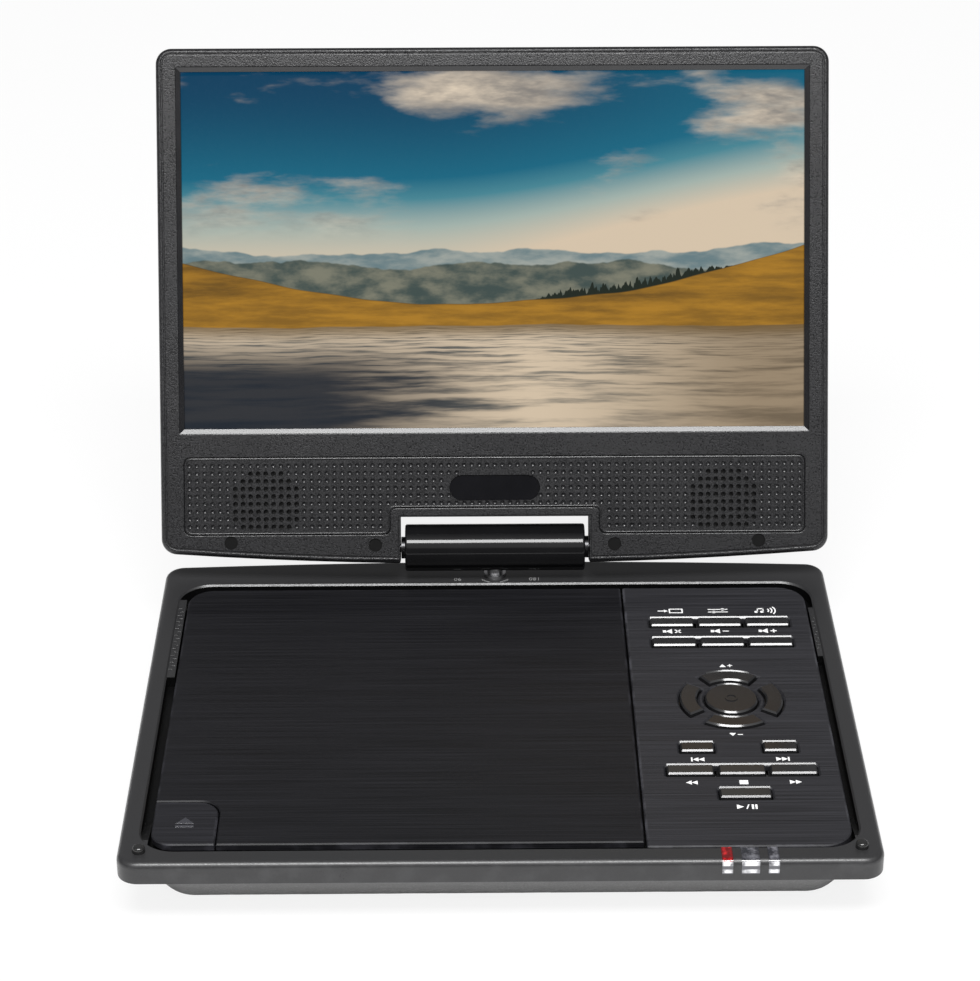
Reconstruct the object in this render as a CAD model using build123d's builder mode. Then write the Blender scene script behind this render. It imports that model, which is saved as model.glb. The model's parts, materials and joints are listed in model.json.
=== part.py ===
from build123d import *
import os
from math import cos, degrees, radians, sin

# Portable disc player: a flat base with a disc bay and keys, and a screen on a swivel hinge.
# Millimetres. X runs to the right, -Y to the front, Z up. The origin lies under the middle of
# the base, on the plane that its feet stand on.

# Base casing
base_width = 212.0
base_depth = 164.5
rear_bow = 3.0
base_corner_r = 6.0
base_height = 20.2
foot_height = 1.8
wall = 2.0
skirt_height = 6.5
top_edge_r = 2.0
lip_inset = 4.5
floor_inset = 12.0
hull_corner_r = 10.0
hull_r = 6.0

# Clearances
fit_gap = 0.1
running_gap = 0.05
moving_gap = 0.3

# Recessed bay in the top of the base
rim_side = 5.8
rim_front = 6.6
bay_corner_r = 10.0
bay_depth = 3.8
bay_floor_t = 1.6
bay_edge = 0.5
lug_depth = 0.3
left_lug_rear = 8.6
left_lug_length = 46.0
right_lug_rear = 15.6
right_lug_length = 29.0
moat_ramp = 14.0

# Disc lid
disc_lid_t = 2.0
disc_lid_corner_r = 8.0
lid_edge = 0.35
left_moat = 3.0
finger_gap = 2.8
rear_gap = 3.2
split_gap = 0.7
lid_pivot_setback = 3.2
lid_pivot_drop = 4.6
lid_ear_t = 3.0
lid_ear_r = 2.2
lid_pin_r = 1.2
lid_pin_length = 2.6
lid_lug_t = 2.2
left_ear_inset = 22.0
right_ear_inset = 25.0

# Open button and latch
button_width = 18.0
button_depth = 20.8
button_corner_r = 6.0
button_gap = 0.4
button_travel = 1.2
button_stem = 4.0
button_stem_inset = 6.0
button_stem_length = 4.5
latch_t = 1.4
latch_depth = 5.0
catch_t = 2.0
catch_inset = 5.0
catch_drop = 7.2

# Disc, its well and the drive below it
disc_d = 120.0
disc_play = 3.0
disc_inset = 68.35
disc_setback = 72.45
well_wall = 1.2
well_depth = 6.4
well_rim_overlap = 3.0
turntable_r = 13.5
turntable_t = 1.6
hub_r = 7.3
hub_height = 2.8
hub_edge = 0.8
hub_balls = 3
spindle_r = 1.0
disc_lift = 1.6
motor_r = 11.0
motor_height = 4.0
damper_height = 1.6
damper_r = 4.5
damper_pin_r = 1.5
chassis_t = 1.0
chassis_front = 30.0
chassis_left = 27.5
chassis_right = 27.5
rod_r = 1.2
rod_spacing = 28.0
rod_height = 2.1
sled_length = 16.0
sled_width = 36.0
sled_t = 3.4
sled_start = 24.2
sled_travel = 34.0
screw_r = 1.0
sled_motor_r = 2.0
sled_motor_length = 9.0
lens_base_r = 4.2
lens_height = 2.2
lens_r = 2.2
lens_dome = 0.4

# Control panel and keys
panel_width = 57.45
panel_t = 2.0
panel_corner_r = 8.5
panel_gap = 0.5
right_moat = 2.2
panel_rib = 1.6
slot_edge = 0.55
key_column = 29.35
first_row = 21.8
row_pitch = 11.85
ring_row = 66.6
ring_to_keys = 25.9
key_width = 13.5
key_depth = 4.6
key_pitch = 14.9
key_gap = 0.4
key_corner_r = 0.5
key_proud = 0.7
key_chamfer = 0.45
key_flange = 0.9
key_flange_t = 1.5
key_travel = 0.6
skip_key_width = 9.8
skip_key_offset = 12.1
play_key_width = 14.7
ring_inner_r = 10.4
ring_outer_r = 15.4
ring_half_angle = 34.0
ok_key_r = 7.9
mat_t = 0.7
mat_dome_r = 1.6
board_t = 1.2
board_margin = 1.5

# Indicator light pipes on the front edge
pipe_widths = (3.0, 5.0, 3.0)
pipe_offsets = (-7.6, -1.2, 5.2)
pipe_drop = 4.4
pipe_lamp = 2.0
lamp_gap = 0.9

# Bumpers, feet and screws of the base
bumper_r = 1.8
bumper_height = 1.9
bumper_inset = 6.2
foot_r = 5.0
foot_pocket = 0.6
foot_inset_x = 30.0
foot_inset_y = 22.0
foot_edge = 0.5
screw_head_r = 2.5
screw_head_t = 1.8
screw_shank_r = 1.2
screw_drive_r = 1.1
screw_length = 10.0
boss_wall = 1.4
boss_split = 10.0
screw_sink = 2.2
well_screw_turns = (52, 128, 218, 308)

# Electronics and sockets in the base
battery_width = 45.0
battery_t = 7.0
main_board_length = 52.0
main_board_width = 47.0
main_board_edge = 0.25
board_post_r = 2.0
chip_size = 14.0
chip_t = 1.8
socket_height = 4.0
socket_side = 7.6
socket_length = 11.0
socket_nose_r = 2.9
jack_bore_r = 1.8
jack_bore_length = 14.0
dc_side = 8.4
dc_nose_r = 3.6
dc_bore_r = 2.75
dc_pin_r = 0.9
dc_bore_length = 9.0
socket_setback = 35.25
dc_step = 11.5
switch_step = 13.5
switch_knob_length = 3.4
switch_knob_t = 2.2
switch_knob_edge = 0.3
switch_travel = 3.0
switch_knob_proud = 1.4
switch_grip = 3.0

# Vents in the underside
vent_count = 7
vent_pitch = 5.0
vent_length = 26.0
vent_width = 1.8
vent_inset = 18.55

# Swivel hinge
axis_setback = 6.1
axis_rise = 9.8
bay_to_axis = 6.5
post_r = 2.5
post_collar_r = 3.5
post_collar_t = 0.7
post_reach = 4.5
post_flange_t = 1.6
post_flange_length = 40.0
barrel_r = 7.5
barrel_length = 57.3
barrel_edge = 0.7
hinge_pin_r = 1.5
hinge_pin_grip = 12.0
hinge_pin_end = 4.0
hinge_collar_r = 3.5

# Screen
screen_width = 212.0
screen_t = 15.0
screen_lean = 24.5
screen_corner_r = 5.0
screen_foot = 0.9
screen_bow = 3.9
front_edge_r = 1.6
back_edge_r = 3.0
notch_gap = 1.55
notch_rise = 10.4
window_height = 112.8
window_side = 7.55
window_top = 7.2
window_gap = 8.8
window_bevel = 1.2
lcd_overlap = 2.0
lcd_t = 1.2
backlight_overlap = 1.0
backlight_t = 3.2
driver_width = 120.0
driver_height = 50.0
driver_chip = 16.0
driver_chip_t = 1.6

# Speaker strip under the window
strip_side = 7.5
strip_bottom = 4.9
strip_top = 29.6
strip_t = 1.2
strip_corner_r = 2.0
strip_notch_side = 3.0
strip_notch_rise = 2.9
dot_pitch = 2.42
dot_margin = 1.0
speaker_column = 10
hole_r = 0.62
hole_rows = (5, 7, 9, 9, 9, 9, 9, 7)
first_hole_row = 24.3
sound_margin = 1.0
speaker_width = 28.0
speaker_height = 20.0
magnet_r = 7.0
magnet_t = 2.6
speaker_t = 3.8
ir_width = 28.6
ir_height = 8.1
ir_t = 0.9
ir_centre = 19.6
ir_seat = 1.5

# Screws and plugs of the screen
plug_r = 2.1
plug_t = 0.9
plug_sink = 0.1
outer_plug_inset = 22.2
outer_plug_rise = 2.4
inner_plug_gap = 7.8
inner_plug_rise = 1.5
lid_screw_head_t = 1.4
lid_screw_r = 1.0
lid_screw_reach = 4.0
lid_boss_wall = 1.0
bracket_t = 2.0
bracket_drop = 2.2
bracket_top = 15.0
bracket_flange_bottom = 7.5
bracket_flange_length = 22.0
bracket_flange_t = 1.6

# Places worked out from the sizes above
front_y = -base_depth / 2
rear_y = base_depth / 2
under_z = foot_height
top_z = under_z + base_height
parting_z = top_z - skirt_height
floor_z = under_z + wall
axis_y = rear_y - axis_setback
axis_z = top_z + axis_rise

bay_half = base_width / 2 - rim_side
bay_front = front_y + rim_front
bay_rear = axis_y - bay_to_axis
bay_floor_z = top_z - bay_depth
tub_z = bay_floor_z - bay_floor_t
flange_t = tub_z - parting_z - fit_gap

panel_right = bay_half - right_moat
panel_left = panel_right - panel_width
disc_lid_left = -bay_half + left_moat
disc_lid_right = panel_left - split_gap
disc_lid_front = bay_front + finger_gap
disc_lid_rear = bay_rear - rear_gap
disc_lid_under = top_z - disc_lid_t
lid_pivot_y = disc_lid_rear - lid_pivot_setback
lid_pivot_z = top_z - lid_pivot_drop
trough_front = lid_pivot_y - lid_ear_r - 3 * moving_gap
left_ear_x = disc_lid_left + left_ear_inset
right_ear_x = disc_lid_right - right_ear_inset

button_left = disc_lid_left
button_right = button_left + button_width
button_front = disc_lid_front
button_rear = button_front + button_depth
stem_left = button_left + button_stem_inset
stem_y = button_front + button_depth / 2
stem_foot_z = disc_lid_under - button_stem_length
latch_top = stem_foot_z - button_travel - moving_gap
ramp_top = stem_foot_z + button_stem / 2
catch_x = button_right + catch_inset
catch_y = stem_y

disc_x = disc_lid_right - disc_inset
disc_y = disc_lid_rear - disc_setback
well_r = disc_d / 2 + disc_play
well_top = bay_floor_z + well_wall
well_floor_z = bay_floor_z - well_depth
disc_z = well_floor_z + disc_lift
well_rim_left = disc_x - well_r - well_wall - well_rim_overlap
well_rim_right = disc_x + well_r + well_wall + well_rim_overlap
well_rim_front = disc_y - well_r - well_wall - well_rim_overlap
well_rim_rear = trough_front - moving_gap
well_slot_half = lens_base_r + moving_gap * 3

chassis_z = floor_z + damper_height
deck_z = chassis_z + chassis_t
rod_z = deck_z + rod_height
sled_y = disc_y + sled_start
inner_wall_y = sled_y - sled_length / 2 - moving_gap - wall
outer_wall_y = sled_y + sled_travel + sled_length / 2 + moving_gap
screw_x = disc_x + sled_width / 2 + moving_gap + screw_r
chassis_rear = outer_wall_y + wall

panel_front = bay_front + panel_gap
panel_rear = disc_lid_rear
panel_under = top_z - panel_t
key_x = panel_left + key_column
row_1 = panel_rear - first_row
row_2 = row_1 - row_pitch
ring_y = panel_rear - ring_row
skip_row = ring_y - ring_to_keys
row_3 = skip_row - row_pitch
play_row = row_3 - row_pitch
key_flange_top = panel_under - fit_gap
key_foot_z = key_flange_top - key_flange_t
mat_top = key_foot_z - key_travel - fit_gap
keys_half = key_pitch + key_width / 2 + key_flange + moving_gap
keys_rear = row_1 + key_depth / 2 + key_flange + 2 * moving_gap
keys_front = play_row - key_depth / 2 - key_flange - 2 * moving_gap
lamp_y = bay_front + pipe_lamp / 2 + lamp_gap
pipe_spots = [key_x + offset for offset in pipe_offsets]

boss_r = screw_head_r + moving_gap + boss_wall
socket_z = floor_z + wall + board_t + socket_height
board_z = floor_z + wall
hull_depth = parting_z - under_z
screw_seat_z = under_z + screw_sink + screw_head_t
socket_front_x = base_width / 2 - floor_inset - wall / 2
socket_back_x = socket_front_x - socket_length
floor_right = base_width / 2 - floor_inset - wall
floor_front = front_y + floor_inset + wall
floor_rear = rear_y - floor_inset - wall
headphone_y = rear_y - socket_setback
antenna_y = headphone_y
dc_y = headphone_y - dc_step
switch_y = dc_y - switch_step
main_board_rear = headphone_y + socket_side / 2 + main_board_edge
main_board_front = main_board_rear - main_board_length
battery_front = floor_front + 2 * boss_r + 3 * moving_gap
battery_rear = main_board_front - wall
battery_left = panel_left + wall
main_board_right = floor_right
main_board_left = main_board_right - main_board_width

lean = radians(screen_lean)
screen_plane = Plane(
    origin=(0, axis_y, axis_z), x_dir=(1, 0, 0), z_dir=(0, -cos(lean), sin(lean))
)
screen_half_t = screen_t / 2
glass_front = screen_half_t - wall - fit_gap
glass_back = glass_front - lcd_t
backlight_front = glass_back - fit_gap
backlight_back = backlight_front - backlight_t
window_width = screen_width - 2 * window_side
window_low = strip_top + window_gap
window_centre = window_low + window_height / 2
screen_reach = window_low + window_height + window_top
notch_half = barrel_length / 2 + notch_gap
strip_half = screen_width / 2 - strip_side
strip_seat = screen_half_t - strip_t
strip_notch_half = notch_half + strip_notch_side
strip_notch_top = notch_rise + strip_notch_rise
dots_each_side = int((strip_half - dot_margin) / dot_pitch)
speaker_u = (dots_each_side - speaker_column) * dot_pitch
speaker_v = first_hole_row - (len(hole_rows) - 1) / 2 * dot_pitch
hinge_pin_tip = notch_half + hinge_pin_end
outer_plug = (screen_width / 2 - outer_plug_inset, outer_plug_rise)
inner_plug = (notch_half + inner_plug_gap, inner_plug_rise)
plug_spots = [(side * u, v) for u, v in (outer_plug, inner_plug) for side in (-1, 1)]
plug_floor = screen_half_t - plug_sink - plug_t - fit_gap
lid_screw_seat = plug_floor - lid_screw_head_t
lid_boss_r = plug_r + running_gap + lid_boss_wall


def save(piece, name):
    """Label a finished piece and write it under its own name."""
    piece.part.label = name
    export_step(piece.part, f"parts/{name}.step")


def block(x0, x1, y0, y1, z0, z1, mode=Mode.ADD):
    """Add or cut a box between two corners."""
    with Locations(((x0 + x1) / 2, (y0 + y1) / 2, (z0 + z1) / 2)):
        Box(x1 - x0, y1 - y0, z1 - z0, mode=mode)


def pillar(x, y, radius, z0, z1, mode=Mode.ADD):
    """Add or cut an upright cylinder."""
    with Locations((x, y, (z0 + z1) / 2)):
        Cylinder(radius, z1 - z0, mode=mode)


def bar(x0, x1, y, z, radius, mode=Mode.ADD):
    """Add or cut a cylinder along X."""
    with Locations(Location(((x0 + x1) / 2, y, z), (0, 90, 0))):
        Cylinder(radius, x1 - x0, mode=mode)


def rail(x, y0, y1, z, radius, mode=Mode.ADD):
    """Add or cut a cylinder along Y."""
    with Locations(Location((x, (y0 + y1) / 2, z), (90, 0, 0))):
        Cylinder(radius, y1 - y0, mode=mode)


def on_screen(u, v, w):
    """Place on the screen: u across, v up its face, w towards the viewer."""
    return screen_plane * Pos(u, v, w)


def screen_block(u0, u1, v0, v1, w0, w1, mode=Mode.ADD):
    """Add or cut a box in the leaning frame of the screen."""
    with Locations(on_screen((u0 + u1) / 2, (v0 + v1) / 2, (w0 + w1) / 2)):
        Box(u1 - u0, v1 - v0, w1 - w0, mode=mode)


def screen_pillar(u, v, radius, w0, w1, mode=Mode.ADD):
    """Add or cut a cylinder square to the face of the screen."""
    with Locations(on_screen(u, v, (w0 + w1) / 2)):
        Cylinder(radius, w1 - w0, mode=mode)


def base_outline(inset, corner):
    """Outline of the base with its bowed rear edge, moved in by an inset."""
    half = base_width / 2 - inset
    front = front_y + inset
    rear = rear_y - inset
    with BuildSketch() as outline:
        with BuildLine():
            Polyline((-half, rear), (-half, front), (half, front), (half, rear))
            ThreePointArc((half, rear), (0, rear + rear_bow), (-half, rear))
        make_face()
        fillet(outline.vertices(), corner)
    return outline.sketch


def hull_inset(z):
    """Distance that the side of the lower shell lies inside the skirt at a height."""
    return floor_inset + (lip_inset - floor_inset) * (z - under_z) / hull_depth


def rounded(x0, x1, y0, y1, corner):
    """Rectangle between two corners, all four rounded alike."""
    with BuildSketch() as outline:
        with Locations(((x0 + x1) / 2, (y0 + y1) / 2)):
            RectangleRounded(x1 - x0, y1 - y0, corner)
    return outline.sketch


def rounded_at(x, y, width, depth):
    """Outline of a key or of its slot about a centre."""
    return rounded(
        x - width / 2, x + width / 2, y - depth / 2, y + depth / 2, key_corner_r
    )


def disc_at(x, y, radius):
    """Round outline about a centre."""
    with BuildSketch() as outline:
        with Locations((x, y)):
            Circle(radius)
    return outline.sketch


def plate_outline(x0, x1, y0, y1, radii):
    """Rectangle with its own radius at each corner: rear left, rear right, front right, front left."""
    with BuildSketch() as outline:
        with Locations(((x0 + x1) / 2, (y0 + y1) / 2)):
            Rectangle(x1 - x0, y1 - y0)
        for corner, radius in zip(((x0, y1), (x1, y1), (x1, y0), (x0, y0)), radii):
            fillet(outline.vertices().sort_by_distance((*corner, 0))[0], radius)
    return outline.sketch


def pad(outline, z0, z1, mode=Mode.ADD):
    """Add or cut an outline between two heights."""
    with BuildSketch(Plane.XY.offset(z0)) as face:
        add(outline)
    extrude(face.sketch, amount=z1 - z0, mode=mode)


def screen_pad(outline, w0, w1, mode=Mode.ADD):
    """Add or cut an outline between two depths of the screen."""
    with BuildSketch(screen_plane.offset(w0)) as face:
        add(outline)
    extrude(face.sketch, amount=w1 - w0, mode=mode)


def screen_outline(inset):
    """Outline of the screen with its bowed foot, before its hinge notch."""
    half = screen_width / 2 - inset
    top = screen_reach - inset
    foot = inset - screen_foot
    with BuildSketch() as outline:
        with BuildLine():
            Polyline((half, foot), (half, top), (-half, top), (-half, foot))
            ThreePointArc((-half, foot), (0, foot - screen_bow), (half, foot))
        make_face()
        fillet(outline.vertices(), screen_corner_r)
    return outline.sketch


def ring_sector(inner, outer, half_angle, heading):
    """Sector of the key ring, centred on a heading in degrees."""
    centre = (key_x, ring_y)
    with BuildSketch() as sector:
        with BuildLine():
            rim = CenterArc(centre, outer, heading - half_angle, 2 * half_angle)
            hub = CenterArc(centre, inner, heading - half_angle, 2 * half_angle)
            Line(rim @ 0, hub @ 0)
            Line(rim @ 1, hub @ 1)
        make_face()
    return sector.sketch


def screen_lip(part):
    """Edges on the front of a piece of the screen."""
    return part.edges().group_by(Axis(screen_plane.origin, screen_plane.z_dir))[-1]


def screen_back(part):
    """Edges on the back of a piece of the screen."""
    return part.edges().group_by(Axis(screen_plane.origin, screen_plane.z_dir))[0]


def strip_shape(inset):
    """Outline of the speaker strip, stepped over the hinge notch."""
    with BuildSketch() as outline:
        add(
            rounded(
                inset - strip_half, strip_half - inset, strip_bottom + inset, strip_top - inset,
                strip_corner_r,
            )
        )
        with Locations((0, strip_bottom)):
            Rectangle(
                2 * (strip_notch_half + inset), 2 * (strip_notch_top + inset - strip_bottom),
                mode=Mode.SUBTRACT,
            )
    return outline.sketch


def pipe_profile(grow):
    """Side view of a light pipe that wraps the front edge of the base."""
    with BuildSketch() as profile:
        with BuildLine():
            FilletPolyline(
                (bay_front, top_z), (front_y, top_z), (front_y, top_z - pipe_drop - grow),
                radius=top_edge_r,
            )
            Polyline(
                (front_y, top_z - pipe_drop - grow),
                (front_y + wall, top_z - pipe_drop - grow),
                (front_y + wall, top_z - wall),
                (bay_front - wall - grow, top_z - wall),
                (bay_front - wall - grow, bay_floor_z),
                (bay_front, bay_floor_z),
                (bay_front, top_z),
            )
        make_face()
    return profile.sketch


os.makedirs("parts", exist_ok=True)

# Screw places of the base: four round the disc well and two at the right-hand corners
well_screw_r = well_r + well_wall + boss_r + moving_gap
screw_spots = [
    (disc_x + well_screw_r * cos(radians(turn)), disc_y + well_screw_r * sin(radians(turn)))
    for turn in well_screw_turns
]
screw_spots += [
    (floor_right - boss_r, y) for y in (floor_front + boss_r, floor_rear - boss_r)
]
damper_spots = [
    (x, y)
    for x in (disc_x - chassis_left + damper_r, disc_x + chassis_right - damper_r)
    for y in (disc_y - chassis_front + damper_r, chassis_rear - damper_r)
]
board_posts = [
    (x, y)
    for x in (main_board_left + wall, main_board_right - 3 * wall)
    for y in (main_board_front + wall, main_board_rear - wall)
]
foot_spots = [
    (side * (base_width / 2 - foot_inset_x), y)
    for side in (-1, 1)
    for y in (front_y + foot_inset_y, rear_y - foot_inset_y)
]

# Upper shell of the base: skirt, rim and the tub of the recessed bay
with BuildPart() as base_upper_shell:
    pad(base_outline(0, base_corner_r), parting_z, top_z)
    fillet(base_upper_shell.edges().group_by(Axis.Z)[-1], top_edge_r)
    pad(
        base_outline(wall, base_corner_r - wall), parting_z, top_z - wall, mode=Mode.SUBTRACT
    )
    pad(
        rounded(
            -bay_half - wall, bay_half + wall, bay_front - wall, bay_rear + wall,
            bay_corner_r + wall,
        ),
        tub_z, top_z - wall,
    )
    pad(
        rounded(-bay_half, bay_half, bay_front, bay_rear, bay_corner_r),
        bay_floor_z, top_z, mode=Mode.SUBTRACT,
    )
    chamfer(
        [
            edge for edge in base_upper_shell.edges().group_by(Axis.Z)[-1]
            if abs(edge.center().X) < bay_half + fit_gap
            and bay_front - fit_gap < edge.center().Y < bay_rear + fit_gap
        ],
        bay_edge,
    )
    # raised lugs in the side moats, above the sockets
    block(
        -bay_half, disc_lid_left - 2 * moving_gap, bay_rear - left_lug_rear - left_lug_length,
        bay_rear - left_lug_rear, bay_floor_z, top_z - lug_depth,
    )
    block(
        panel_right + 2 * moving_gap, bay_half, bay_rear - right_lug_rear - right_lug_length,
        bay_rear - right_lug_rear, bay_floor_z, top_z - lug_depth,
    )
    # ramps at the front ends of the moats
    for x0, x1 in (
        (-bay_half, disc_lid_left - 2 * moving_gap), (panel_right + 2 * moving_gap, bay_half)
    ):
        with BuildSketch(Plane.YZ.offset(x0)) as ramp:
            with BuildLine():
                Polyline(
                    (bay_front + bay_corner_r / 2 + moat_ramp, bay_floor_z),
                    (bay_front + bay_corner_r / 2, top_z - lug_depth),
                    (bay_front, top_z - lug_depth),
                    (bay_front, bay_floor_z),
                    close=True,
                )
            make_face()
        extrude(ramp.sketch, amount=x1 - x0)
    # opening for the disc well, trough behind the disc lid, opening for the keys
    pillar(disc_x, disc_y, well_r + well_wall + moving_gap, tub_z, bay_floor_z, mode=Mode.SUBTRACT)
    block(
        disc_lid_left - moving_gap, disc_lid_right, trough_front, bay_rear, tub_z, bay_floor_z,
        mode=Mode.SUBTRACT,
    )
    block(
        key_x - keys_half, key_x + keys_half, keys_front, keys_rear, tub_z, bay_floor_z,
        mode=Mode.SUBTRACT,
    )
    block(
        pipe_spots[0] - pipe_lamp, pipe_spots[-1] + pipe_lamp, bay_front,
        lamp_y + pipe_lamp / 2 + moving_gap, tub_z, bay_floor_z, mode=Mode.SUBTRACT,
    )
    # lugs that carry the pins of the disc lid
    for ear_x in (left_ear_x, right_ear_x):
        lug_x0 = ear_x + lid_ear_t / 2 + moving_gap
        lug_x1 = lug_x0 + lid_lug_t
        block(
            lug_x0, lug_x1, trough_front - wall, lid_pivot_y, lid_pivot_z - lid_ear_r, bay_floor_z
        )
        bar(lug_x0, lug_x1, lid_pivot_y, lid_pivot_z, lid_ear_r)
        bar(
            lug_x0, lug_x1, lid_pivot_y, lid_pivot_z, lid_pin_r + running_gap, mode=Mode.SUBTRACT
        )
    # openings for the stem of the open button and the catch of the disc lid
    block(
        stem_left - 3 * button_stem / 2, stem_left + button_stem + moving_gap,
        stem_y - latch_depth / 2 - moving_gap, stem_y + latch_depth / 2 + moving_gap,
        tub_z, bay_floor_z, mode=Mode.SUBTRACT,
    )
    block(
        catch_x - catch_t, catch_x + catch_t + 2 * moving_gap, catch_y - latch_depth / 2 - wall,
        catch_y + latch_depth / 2 + wall, tub_z, bay_floor_z, mode=Mode.SUBTRACT,
    )
    # bosses for the screws from below
    for x, y in screw_spots:
        pillar(x, y, boss_r - boss_wall, boss_split, bay_floor_z)
        pillar(x, y, screw_shank_r + running_gap, boss_split, tub_z, mode=Mode.SUBTRACT)
    # seats of the bumpers, hole of the swivel post, slots of the light pipes
    for side in (-1, 1):
        pillar(
            side * (base_width / 2 - bumper_inset), front_y + bumper_inset + fit_gap,
            bumper_r, top_z - wall / 2, top_z, mode=Mode.SUBTRACT,
        )
    pillar(0, axis_y, post_r + running_gap, top_z - wall, top_z, mode=Mode.SUBTRACT)
    for x, width in zip(pipe_spots, pipe_widths):
        half = width / 2 + running_gap
        with BuildSketch(Plane.YZ.offset(x - half)) as slot:
            add(pipe_profile(running_gap))
        extrude(slot.sketch, amount=2 * half, mode=Mode.SUBTRACT)
save(base_upper_shell, "base_upper_shell")

# Hollow of the lower shell
with BuildPart() as hull_hollow:
    with BuildSketch(Plane.XY.offset(floor_z)):
        add(base_outline(floor_inset + wall, hull_corner_r))
    with BuildSketch(Plane.XY.offset(parting_z + flange_t)):
        add(base_outline(lip_inset + wall, hull_corner_r))
    loft(ruled=True)
    fillet(hull_hollow.edges().group_by(Axis.Z)[0], hull_r - wall)

# Lower shell of the base: tapered tub with a flange inside the skirt
with BuildPart() as base_lower_shell:
    with BuildSketch(Plane.XY.offset(under_z)):
        add(base_outline(floor_inset, hull_corner_r))
    with BuildSketch(Plane.XY.offset(parting_z)):
        add(base_outline(lip_inset, hull_corner_r))
    loft(ruled=True)
    fillet(base_lower_shell.edges().group_by(Axis.Z)[0], hull_r)
    pad(base_outline(wall + fit_gap, base_corner_r - wall), parting_z, parting_z + flange_t)
    add(hull_hollow.part, mode=Mode.SUBTRACT)
    # screw bosses with sunk heads
    for x, y in screw_spots:
        pillar(x, y, boss_r, floor_z, boss_split - fit_gap)
        pillar(x, y, screw_head_r + moving_gap, under_z, screw_seat_z, mode=Mode.SUBTRACT)
        pillar(
            x, y, screw_shank_r + 2 * fit_gap, screw_seat_z, boss_split, mode=Mode.SUBTRACT
        )
    # pins of the drive dampers, posts of the main board, shelves of the antenna socket and latch
    for x, y in damper_spots:
        pillar(x, y, damper_pin_r, floor_z, deck_z + chassis_t)
    for x, y in board_posts:
        pillar(x, y, board_post_r, floor_z, board_z)
    block(
        -floor_right + wall, -socket_back_x, antenna_y - socket_side / 2,
        antenna_y + socket_side / 2, floor_z, socket_z - socket_side / 2,
    )
    block(
        stem_left, catch_x - wall, stem_y - latch_depth / 2, stem_y + latch_depth / 2,
        floor_z, latch_top - latch_t - running_gap,
    )
    # pockets of the feet
    for x, y in foot_spots:
        pillar(x, y, foot_r + fit_gap, under_z, under_z + foot_pocket, mode=Mode.SUBTRACT)
    # holes for the sockets and the switch
    bar(
        socket_back_x, base_width / 2, headphone_y, socket_z, socket_nose_r + fit_gap,
        mode=Mode.SUBTRACT,
    )
    bar(socket_back_x, base_width / 2, dc_y, socket_z, dc_nose_r + fit_gap, mode=Mode.SUBTRACT)
    bar(
        -base_width / 2, -socket_back_x, antenna_y, socket_z, socket_nose_r + fit_gap,
        mode=Mode.SUBTRACT,
    )
    block(
        socket_back_x, base_width / 2, switch_y - switch_knob_length / 2 - moving_gap,
        switch_y + switch_knob_length / 2 + switch_travel + moving_gap,
        socket_z - switch_knob_t / 2 - moving_gap, socket_z + switch_knob_t / 2 + moving_gap,
        mode=Mode.SUBTRACT,
    )
    # vents in the underside
    with BuildSketch(Plane.XY.offset(under_z)):
        with Locations((panel_left - vent_inset, 0)):
            with GridLocations(vent_pitch, 0, vent_count, 1):
                SlotOverall(vent_length, vent_width, rotation=90)
    extrude(amount=wall, mode=Mode.SUBTRACT)
save(base_lower_shell, "base_lower_shell")

# Rubber feet, in pockets of the underside
with BuildPart() as rubber_feet:
    for x, y in foot_spots:
        pillar(x, y, foot_r, 0, under_z + foot_pocket)
    chamfer(rubber_feet.edges().group_by(Axis.Z)[0], foot_edge)
save(rubber_feet, "rubber_feet")

# Screws that hold the two shells of the base together
with BuildPart() as base_screws:
    for x, y in screw_spots:
        pillar(x, y, screw_head_r, screw_seat_z - screw_head_t, screw_seat_z)
        pillar(x, y, screw_shank_r, screw_seat_z, screw_seat_z + screw_length)
        pillar(
            x, y, screw_drive_r, screw_seat_z - screw_head_t, screw_seat_z - screw_head_t / 2,
            mode=Mode.SUBTRACT,
        )
save(base_screws, "base_screws")

# Rubber bumpers that the closed screen rests over
with BuildPart() as front_bumpers:
    for side in (-1, 1):
        pillar(
            side * (base_width / 2 - bumper_inset), front_y + bumper_inset + fit_gap,
            bumper_r - running_gap, top_z - wall / 2, top_z + bumper_height,
        )
    fillet(front_bumpers.edges().group_by(Axis.Z)[-1], bumper_r / 2)
save(front_bumpers, "front_bumpers")

# Light pipes that show the indicator lamps on the front edge
with BuildPart() as light_pipes:
    for x, width in zip(pipe_spots, pipe_widths):
        with BuildSketch(Plane.YZ.offset(x - width / 2)) as pipe:
            add(pipe_profile(0))
        extrude(pipe.sketch, amount=width)
save(light_pipes, "light_pipes")

# Dished well that the disc lies in
with BuildPart() as disc_well:
    pad(
        rounded(well_rim_left, well_rim_right, well_rim_front, well_rim_rear, disc_lid_corner_r),
        bay_floor_z, well_top,
    )
    pillar(disc_x, disc_y, well_r + well_wall, well_floor_z - well_wall, bay_floor_z)
    block(
        -bay_half, button_right + 2 * moving_gap, bay_front,
        button_rear + 2 * moving_gap, bay_floor_z, well_top, mode=Mode.SUBTRACT,
    )
    block(
        catch_x - catch_t, catch_x + catch_t + 2 * moving_gap, bay_front,
        catch_y + latch_depth / 2 + wall, bay_floor_z, well_top, mode=Mode.SUBTRACT,
    )
    pillar(disc_x, disc_y, well_r, well_floor_z, well_top, mode=Mode.SUBTRACT)
    pillar(
        disc_x, disc_y, turntable_r + disc_play, well_floor_z - well_wall, well_floor_z,
        mode=Mode.SUBTRACT,
    )
    block(
        disc_x - well_slot_half, disc_x + well_slot_half, disc_y,
        sled_y + sled_travel + lens_base_r + moving_gap,
        well_floor_z - well_wall, well_floor_z, mode=Mode.SUBTRACT,
    )
save(disc_well, "disc_well")

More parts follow.
